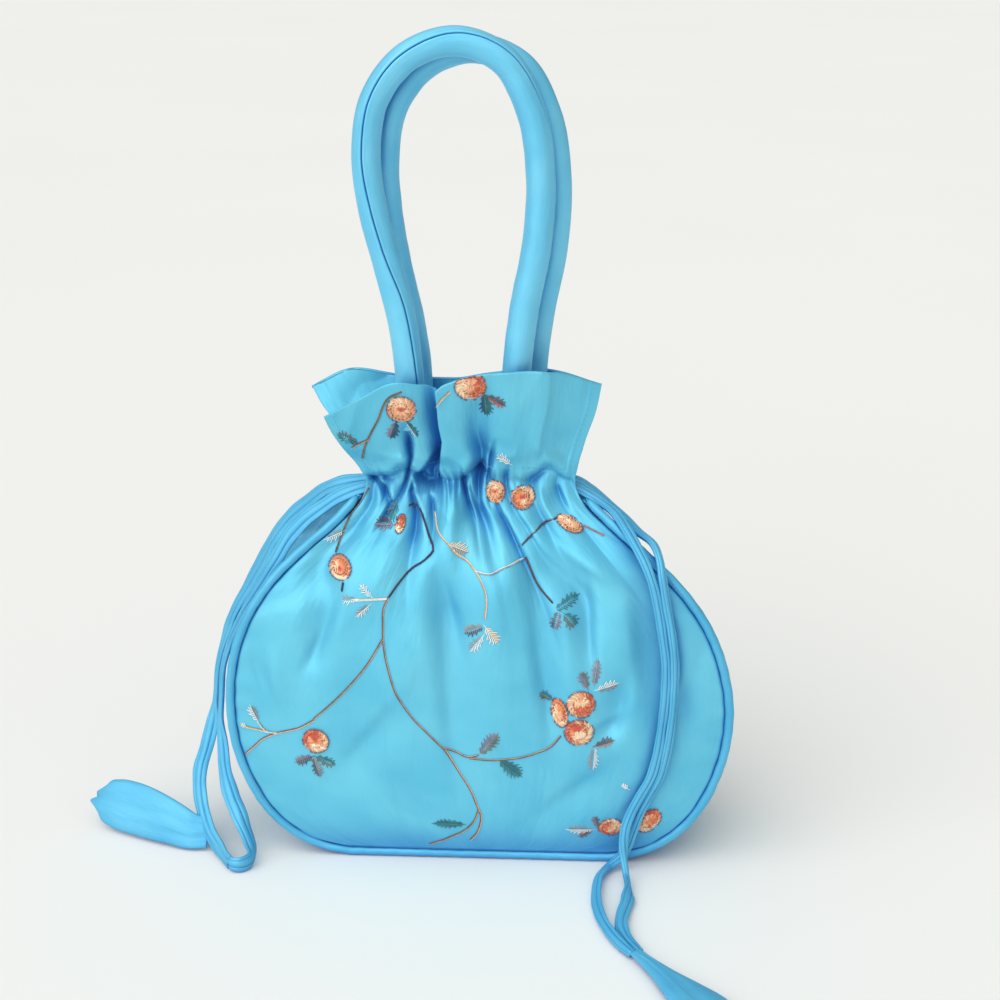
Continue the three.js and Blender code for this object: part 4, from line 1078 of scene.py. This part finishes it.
# %% stems
# thread of the shaded side, thread of the light side, and places along the stem
STEMS = [
    ("dark", "dark", [(-30, 159), (-25.5, 159), (-23, 154.5), (-20.5, 148.5), (-18.5, 144.5), (-21.5, 141),
                      (-27, 137), (-32.5, 131.5), (-37, 125.5)]),
    ("brown", "tan", [(-37, 125.5), (-39, 121), (-39.5, 113.5), (-39, 103), (-37, 93.5), (-33.5, 82),
                      (-28, 73), (-22, 66.5), (-14, 57.5)]),
    ("brown", "tan", [(-39.5, 107.5), (-46.5, 95.5), (-56, 83.5), (-70, 69.5)]),
    ("brown", "peach", [(-70, 69), (-76, 65), (-86.5, 61), (-93, 57.5), (-98.5, 52), (-102, 48.5)]),
    ("grey", "white", [(-86.5, 61), (-91.5, 61.5), (-95, 65.5)]),
    ("tan", "cream", [(-90.5, 61), (-97, 62), (-100.5, 62.5)]),
    ("brown", "olive", [(-47.5, 164.5), (-51.5, 159), (-55, 154), (-58, 147.5), (-60.5, 140.5)]),
    ("dark", "dark", [(-56.5, 130), (-57, 126.5)]),
    ("cream", "white", [(-37.5, 125), (-43.5, 124.5), (-51, 123.5)]),
    ("brown", "peach", [(-14, 57.5), (-7.5, 46), (-3, 38), (0, 29.5), (1.5, 25), (1, 20), (-0.5, 15),
                        (-3.5, 10.5)]),
    ("brown", "tan", [(0.5, 28.5), (-1.5, 22), (-6.5, 15.5), (-14, 11), (-21.5, 7.5)]),
    ("brown", "tan", [(-14, 58), (-9, 56), (-4, 54), (0.5, 55.5)]),
    ("brown", "tan", [(-3, 53.5), (4.5, 53.5), (10, 53.5), (17.5, 54.5), (25, 57), (32, 60.5), (35.5, 65)]),
    ("tan", "cream", [(-18.5, 157.5), (-17, 151.5), (-12.5, 147.5), (-9, 143.5), (-3.5, 140), (1, 134.5),
                      (4, 127), (3.5, 118)]),
    ("grey", "white", [(-1, 137), (6, 136), (11, 138), (19, 140)]),
    ("dark", "brown", [(17, 144.5), (22, 149.5), (27, 153.5), (33, 156)]),
    ("dark", "brown", [(20, 141), (26, 129), (31.5, 123.5)]),
    ("mauve", "mauve", [(44, 152.5), (52.5, 149)]),
    ("brown", "olive", [(-31, 212), (-36, 209.5), (-41.5, 198.5), (-47.5, 186), (-49.5, 179)]),
    ("brown", "tan", [(-45.5, 189.5), (-50.5, 186.5), (-53.5, 184.5)]),
    ("tan", "cream", [(-11, 212), (-14, 208), (-17, 203.5)]),
]
STEM_STITCH = 1.7
STEM_OVERLAP = 0.6
STEM_HALF_GAP = 0.27
STEM_SHADE = (0.2, 0.25)      # height over the cloth and radius of a stitch in the shaded row
STEM_LIGHT = (0.26, 0.22)     # and in the light row


def stem_stitches(shade, light, places):
    """Two rows of overlapping back stitches side by side along a smooth curve."""
    length = run_of(np.array(places, float))[-1]
    count = max(int(length / STEM_STITCH), 2)
    path = smooth_path(places, count + 1)
    along = unit(np.diff(path, axis=0))
    aside = np.stack([-along[:, 1], along[:, 0]], 1) * STEM_HALF_GAP
    starts = path[:-1] - along * STEM_OVERLAP / 2
    ends = path[1:] + along * STEM_OVERLAP / 2
    note(shade, starts - aside, ends - aside * 0.6, *STEM_SHADE)
    note(light, starts + aside, ends + aside * 0.6, *STEM_LIGHT)


for stem in STEMS:
    stem_stitches(*stem)
print("stems:", len(STEMS))

# %% leaves
# base, tip, width, thread and second thread
LEAVES = [
    ((-71.5, 51), (-80, 47), 4.6, "brown", "mauve"), ((-69.5, 51), (-60.5, 47), 4.8, "green", "olive"),
    ((-70.5, 50.5), (-68, 40), 4.4, "grey", "brown"), ((-95, 66), (-98.5, 73.5), 4.2, "white", "grey"),
    ((-100.5, 62.5), (-103, 64), 2.6, "cream", "white"),
    ((-44.5, 126), (-49.5, 130.5), 3.4, "white", "white"),
    ((-51, 124), (-57.5, 123), 3.6, "white", "grey"), ((-45.5, 121.5), (-51.5, 116), 3.6, "white", "grey"),
    ((-36, 152.5), (-45, 152), 4.6, "mauve", "brown"), ((-35, 159.5), (-38, 153.5), 4.8, "green", "olive"),
    ((-58, 148), (-66, 145), 4.2, "white", "grey"), ((2.5, 114.5), (-6.5, 110), 4.6, "brown", "tan"),
    ((4, 114), (9.5, 106.5), 5.0, "cream", "white"), ((2.5, 110), (-3.5, 102), 4.2, "white", "grey"),
    ((33, 121), (43.5, 126), 4.6, "green", "green"), ((34, 120), (32, 111), 4.4, "mauve", "brown"),
    ((36.5, 119), (42, 113), 5.2, "green", "olive"), ((31.5, 81), (26, 84.5), 3.4, "olive", "green"),
    ((46.5, 87.5), (43.5, 95), 4.4, "mauve", "olive"), ((49.5, 89), (51, 101.5), 3.8, "grey", "mauve"),
    ((51, 86.5), (60.5, 89), 4.8, "white", "grey"), ((50.5, 60.5), (59, 63), 4.0, "brown", "tan"),
    ((50, 59.5), (49, 47), 4.4, "white", "grey"), ((1.5, 56.5), (10, 67.5), 5.8, "mauve", "olive"),
    ((10, 53), (20, 44.5), 6.4, "green", "green"), ((-6.5, 19.5), (-21, 19), 4.6, "green", "green"),
    ((51.5, 20), (50.5, 26), 3.2, "mauve", "brown"), ((49.5, 18), (37.5, 18), 4.2, "white", "grey"),
    ((49, 17.5), (43, 13.5), 3.6, "brown", "mauve"), ((64.5, 39.5), (62, 41.5), 2.4, "white", "white"),
    ((-51, 187), (-60, 192), 5.0, "green", "olive"), ((-34, 197.5), (-37, 189), 4.8, "dark", "mauve"),
    ((-29, 197.5), (-25, 190), 3.4, "green", "white"), ((2.5, 209.5), (3.5, 199), 5.2, "green", "dark"),
    ((4, 209), (12, 204.5), 4.2, "brown", "red"), ((12.5, 178.5), (7, 183.5), 3.6, "white", "white"),
    ((-12, 147), (-3, 143.5), 5.0, "cream", "tan"),
]
LEAF_STITCH = 1.05            # distance between stitches along the midrib
LEAF_STALK = 1.8
LEAF_SHORT = 0.66             # length of every second stitch, as a share of its neighbours'
LEAF_FORWARD = 0.8            # how far a stitch runs forwards, as a share of how far it runs aside
LEAF_THREAD = (0.2, 0.25)     # height over the cloth and radius of a stitch
RIB_THREAD = (0.3, 0.22)      # and of the midrib


def leaf_stitches(base, tip, wide, first, second):
    """Fishbone stitch: from the midrib outwards and forwards on both sides. The half width along the leaf
    is a lens, sin(pi u) to the power 0.8, and each stitch ends ahead of its start by a share of that.
    Every second stitch is shorter, which frays the edge. The midrib starts behind the leaf as its stalk."""
    base = np.array(base, float)
    reach = np.array(tip, float) - base
    length = np.linalg.norm(reach)
    forward = reach / length
    aside = np.array([-forward[1], forward[0]])
    u = (np.arange(int(length / LEAF_STITCH)) + 0.3) * LEAF_STITCH / length * 0.92
    half = 0.62 * wide * np.sin(np.pi * np.clip(u + 0.14, 0, 1)) ** 0.8
    half[1::2] *= LEAF_SHORT
    for turn, colour in ((1, first), (-1, second)):
        starts = base + np.outer(u * length, forward) + 0.15 * turn * aside
        ends = base + np.outer(u * length + LEAF_FORWARD * half, forward)
        ends = ends + np.outer(turn * half, aside)
        note(colour, starts, ends, *LEAF_THREAD)
    note(first, base - LEAF_STALK * forward, base + reach * 0.97, *RIB_THREAD)


for leaf in LEAVES:
    leaf_stitches(*leaf)
print("leaves:", len(LEAVES))

# %% rose buds
# place, width, height, tilt, thread of the heart, angle and thread of the darker side
BUDS = [
    ((-31.5, 204), 12, 12, 0, "red", 250, "peach"), ((-3, 214), 12.5, 12, 0, "peach", 20, "red"),
    ((6.5, 165.5), 8, 9.5, 0, "orange", 280, "peach"), ((18, 163.5), 10.5, 8.6, 0, "red", 200, "orange"),
    ((38, 153.5), 12, 4.8, -24, "cream", 20, "peach"), ((-58, 135.5), 10, 9.2, 0, "red", 60, "orange"),
    ((-69.5, 59), 11.5, 11.5, 0, "orange", 130, "red"), ((44, 80), 12, 12, 0, "cream", 320, "red"),
    ((43.3, 67), 12.5, 12, 0, "cream", 150, "red"), ((35, 75.5), 7, 13, 14, "peach", 60, "orange"),
    ((57.5, 19.5), 10.5, 9, 20, "peach", 190, "red"), ((74, 22.5), 9, 13.5, -35, "orange", 90, "red"),
    ((-33, 153), 4, 7, -15, "red", 90, "red"),
]
# each ring: stitches to a millimetre of the bud's radius, shares of the radius at which a stitch starts and
# ends, how far it slants round the bud in radians, and its height over the cloth
BUD_RINGS = [(8.5, 0.55, 1.0, 0.5, 0.25), (6.5, 0.06, 0.7, -0.8, 0.55)]
RING_RADIUS = 0.33            # radius of a ring's thread
HEART_SPAN = 0.3              # half width of the heart, as a share of the bud's
HEART_LENGTH = (0.16, 0.4)    # least and most half length of its stitches
HEART_THREAD = (0.7, 0.3)     # height over the cloth and radius
# share of the radius, first and last angle, and share of the stitches kept: the outline all round,
# and two arcs whose angles start from the darker side
BUD_OUTLINE = (1.0, 0, 6.28, 0.8)
BUD_ARCS = [(0.7, -2.2, 1.4, 0.93), (0.5, 1.5, 4.9, 0.93)]
ARC_THREAD = (0.7, 0.19)
BUD_SEED = 5


def bud_stitches(place, wide, tall, tilt, heart, dark_side, dark, dice):
    """A rose from the outside in: a ring of slanting stitches, a second ring the other way round, higher and
    closed in the middle, a ragged heart on the light side, a brown outline, and two brown arcs that part the
    petals. Each stitch's thread is drawn by lot, and the darker side has more of the dark one."""
    turn = math.radians(tilt)
    across = np.array([math.cos(turn), math.sin(turn)]) * wide / 2
    up = np.array([-math.sin(turn), math.cos(turn)]) * tall / 2
    deep = math.radians(dark_side)

    def spot(radius, angle):
        aside = np.outer(radius * np.cos(angle), across)
        return np.array(place) + aside + np.outer(radius * np.sin(angle), up)

    size = math.sqrt(wide * tall) / 2
    for density, inside, outside, swirl, height in BUD_RINGS:
        count = int(density * size)
        angle = np.arange(count) * 2 * np.pi / count
        starts = spot(np.full(count, inside), angle)
        ends = spot(outside + 0.06 * dice.uniform(-1, 1, count), angle + swirl)
        shade = 0.36 + 0.5 * np.cos(angle - deep) + dice.uniform(-0.4, 0.4, count)
        for colour, chosen in (
            (dark, shade > 0.6), ("orange", (shade > 0.34) & (shade <= 0.6)),
            ("peach", (shade > -0.1) & (shade <= 0.34)), ("cream", shade <= -0.1),
        ):
            if chosen.any():
                note(colour, starts[chosen], ends[chosen], height, RING_RADIUS)
    rows = np.linspace(-HEART_SPAN, HEART_SPAN, max(int(1.2 * size), 3))
    middle = spot(np.array([0.12]), np.array([deep + np.pi]))[0] + np.outer(rows, across)
    below = np.outer(dice.uniform(*HEART_LENGTH, len(rows)), up)
    above = np.outer(dice.uniform(*HEART_LENGTH, len(rows)), up)
    note(heart, middle - below, middle + above, *HEART_THREAD)
    arcs = [(radius, deep + first, deep + last, share) for radius, first, last, share in BUD_ARCS]
    for radius, first, last, share in (BUD_OUTLINE, *arcs):
        angle = np.arange(first, last, 0.3 / radius ** 0.5)
        angle = angle[dice.uniform(0, 1, len(angle)) < share]
        radii = np.full(len(angle), radius)
        note("brown", spot(radii, angle), spot(radii + 0.03, angle + 0.28 / radius ** 0.5), *ARC_THREAD)


dice = np.random.default_rng(BUD_SEED)
for bud in BUDS:
    bud_stitches(*bud, dice)
print("buds:", len(BUDS))

# %% [markdown]
# ## Laying stitches on the cloth
#
# All stitches of one thread become one mesh. The same maker also lays the machine stitches that close the
# channel at the neck and hem the open side edges of the frill.

# %% stitch maker
SEARCH_STEPS = 14
STITCH_REACH = 0.992          # no stitch lies closer to a side seam than this s
STEP_S = 0.004
STEP_Z = 0.4


def panel_under(side, x, z):
    """The panel's s and z under places x across and z up, by a short fixed-point search."""
    s = np.zeros_like(x)
    cloth_z = np.array(z, float)
    for _ in range(SEARCH_STEPS):
        half, middle = section_at(cloth_z)[:2]
        s = np.clip((x - middle) / half, -STITCH_REACH, STITCH_REACH)
        cloth_z = np.clip(z - rim_rise(side, s, cloth_z), FOOT + 0.5, RIM - 0.4)
    return s, cloth_z


def panel_frame(side, s, z):
    """Points of the panel and its outward directions, found from two short steps on the surface."""
    here = panel_points(side, s, z)
    step_s = panel_points(side, s + STEP_S, z) - panel_points(side, s - STEP_S, z)
    step_z = panel_points(side, s, z + STEP_Z) - panel_points(side, s, z - STEP_Z)
    return here, unit(np.cross(step_s, step_z)) * -side


# rings of a stitch: place along it, and shares of its height and of its radius there
STITCH_RINGS = np.array([0, 0.16, 0.5, 0.84, 1])
STITCH_LIFT = np.array([-0.3, 0.7, 1, 0.7, -0.3])
STITCH_GIRTH = np.array([0.4, 0.88, 1, 0.88, 0.4])
STITCH_SIDES = 6


def stitch_piece(name, starts, ends, outward, height, radius, material):
    """Many beads of thread as one mesh. Each is a tube of five rings between its ends, thin at both of them,
    and its middle is raised over the cloth by its height."""
    along = unit(ends - starts)
    across = unit(np.cross(outward, along))
    through = np.cross(along, across)
    angle = turns(STITCH_SIDES)
    u = STITCH_RINGS[None, :, None]
    middles = starts[:, None] * (1 - u) + ends[:, None] * u
    middles = middles + outward[:, None] * (height[:, None] * STITCH_LIFT)[..., None]
    girth = (radius[:, None] * STITCH_GIRTH)[..., None, None]
    ring = np.cos(angle)[:, None] * across[:, None, None] + np.sin(angle)[:, None] * through[:, None, None]
    points = (middles[:, :, None] + girth * ring).reshape(-1, 3)
    rings = len(STITCH_RINGS)
    first = (np.arange(len(starts)) * rings * STITCH_SIDES)[:, None, None]
    quads = grid_faces(rings, STITCH_SIDES, wrap=True)[0][None] + first
    turn = np.arange(STITCH_SIDES)
    caps = np.stack([turn[::-1], (rings - 1) * STITCH_SIDES + turn])[None] + first
    loops = np.concatenate([quads.ravel(), caps.ravel()])
    sizes = np.concatenate([np.full(quads.size // 4, 4), np.full(caps.size // STITCH_SIDES, STITCH_SIDES)])
    return mesh_piece(name, points, loops, sizes, material)

# %% embroidery
sewn_on_front = []
for colour, rows in stitch_book.items():
    book = np.concatenate(rows)
    starts, start_out = panel_frame(-1, *panel_under(-1, book[:, 0], book[:, 1]))
    ends, end_out = panel_frame(-1, *panel_under(-1, book[:, 2], book[:, 3]))
    outward = unit(start_out + end_out)
    sewn_on_front.append(stitch_piece(f"embroidery_{colour}", starts, ends, outward, book[:, 4], book[:, 5],
                                      THREADS[colour]))

# %% machine stitches
SEAM_STITCH = 2.3
SEAM_STITCH_GAP = 0.6
HEM_INSET = 3.2
HEM_FOOT = 173                # height at which the hems' stitches start
CHANNEL_STITCH = 175.5        # height of the line that closes the channel
CHANNEL_REACH = 0.97          # s of its two ends
LINE_POINTS = 800
SEAM_HEIGHT = 0.05            # height over the cloth and radius of the sewing thread
SEAM_RADIUS = 0.17
sewn_on_back = []
for side, panel_name, sewn_on in ((-1, "front", sewn_on_front), (1, "back", sewn_on_back)):
    s = np.linspace(-CHANNEL_REACH, CHANNEL_REACH, LINE_POINTS)
    lines = [(s, np.full(LINE_POINTS, CHANNEL_STITCH))]
    z = np.linspace(HEM_FOOT, RIM - 1, LINE_POINTS // 2)
    for edge in (-1, 1):
        lines.append((edge * (1 - HEM_INSET / section_at(z)[0]), z))
    starts, ends, outward = [], [], []
    for s, z in lines:
        here, out = panel_frame(side, s, z)
        run = run_of(here)
        first = np.arange(0.5, run[-1] - SEAM_STITCH, SEAM_STITCH)
        last = first + SEAM_STITCH - SEAM_STITCH_GAP
        starts.append(read_line(here, run, first))
        ends.append(read_line(here, run, last))
        outward.append(unit(read_line(out, run, first)))
    starts, ends, outward = (np.concatenate(rows) for rows in (starts, ends, outward))
    same = np.ones(len(starts))
    sewn_on.append(stitch_piece(f"{panel_name}_stitches", starts, ends, outward, SEAM_HEIGHT * same,
                                SEAM_RADIUS * same, SEAM_THREAD))

# %% [markdown]
# ## Table and light
#
# The pouch stands on a plain pale table in soft light. One wide lamp high on the left in front makes the
# broad highlights of the satin. The room is brightest overhead and dim at eye level behind,
# so cloth that turns away goes deep blue, which shows the folds.
# The table is one big disc, so that no wall hides the pouch in views from behind.

# %% table
TABLE_RADIUS = 6000.0
TABLE_SIDES = 96
TABLE_TOP = -0.05             # just under the pouch's foot
angle = turns(TABLE_SIDES)
disc = np.stack([
    TABLE_RADIUS * np.cos(angle), TABLE_RADIUS * np.sin(angle), np.full(TABLE_SIDES, TABLE_TOP),
], 1)
# Smooth painted board: nearly white, hardly any shine, with a faint unevenness of its tone.
TABLE_PAINT, tree, shader = shaded("pale matt table paint", Roughness=0.75, Specular_IOR_Level=0.25)
place = add_node(tree, "ShaderNodeTexCoord", {})
cloud = add_node(tree, "ShaderNodeTexNoise",
                 {"Vector": place.outputs["Object"], "Scale": 2.0, "Detail": 2.0})
colour = add_node(tree, "ShaderNodeMix", {"Factor": cloud.outputs["Fac"], MIX_A: linear("F1F2F0"),
                                          MIX_B: linear("EDEEEC")}, data_type="RGBA")
tree.links.new(colour.outputs[MIX_RESULT], shader.inputs["Base Color"])
mesh = bpy.data.meshes.new("table")
mesh.from_pydata((disc * MM).tolist(), [], [list(range(TABLE_SIDES))])
mesh.materials.append(TABLE_PAINT)
table = bpy.data.objects.new("table", mesh)
scene.collection.objects.link(table)

# %% light
LAMP_ENERGY = 1.85
LAMP_ANGLE = math.radians(75)
LAMP_DIRECTION = Vector((0.46, 0.78, -0.8))
ROOM_BRIGHT = (-0.12, -0.32, 0.94)   # the brightest part of the room is overhead, a little to the left
ROOM_LOW = 0.04
ROOM_HIGH = 0.94

key = bpy.data.lights.new("soft key lamp", "SUN")
key.energy = LAMP_ENERGY
key.angle = LAMP_ANGLE
key_holder = bpy.data.objects.new("soft key lamp", key)
key_holder.rotation_euler = LAMP_DIRECTION.to_track_quat("-Z", "Y").to_euler()
scene.collection.objects.link(key_holder)
world = bpy.data.worlds.new("pale room")
world.use_nodes = True
tree = world.node_tree
background = tree.nodes["Background"]
background.inputs["Color"].default_value = linear("FAF9F6")
direction = add_node(tree, "ShaderNodeTexCoord", {})
towards = add_node(tree, "ShaderNodeVectorMath", {0: direction.outputs["Generated"], 1: ROOM_BRIGHT},
                   operation="DOT_PRODUCT")
rise = add_node(tree, "ShaderNodeMapRange",
                {"Value": towards.outputs["Value"], "From Min": -0.3, "To Min": ROOM_LOW,
                 "To Max": ROOM_HIGH})
tree.links.new(rise.outputs["Result"], background.inputs["Strength"])
scene.world = world
print("lamps:", [light.name for light in bpy.data.lights])
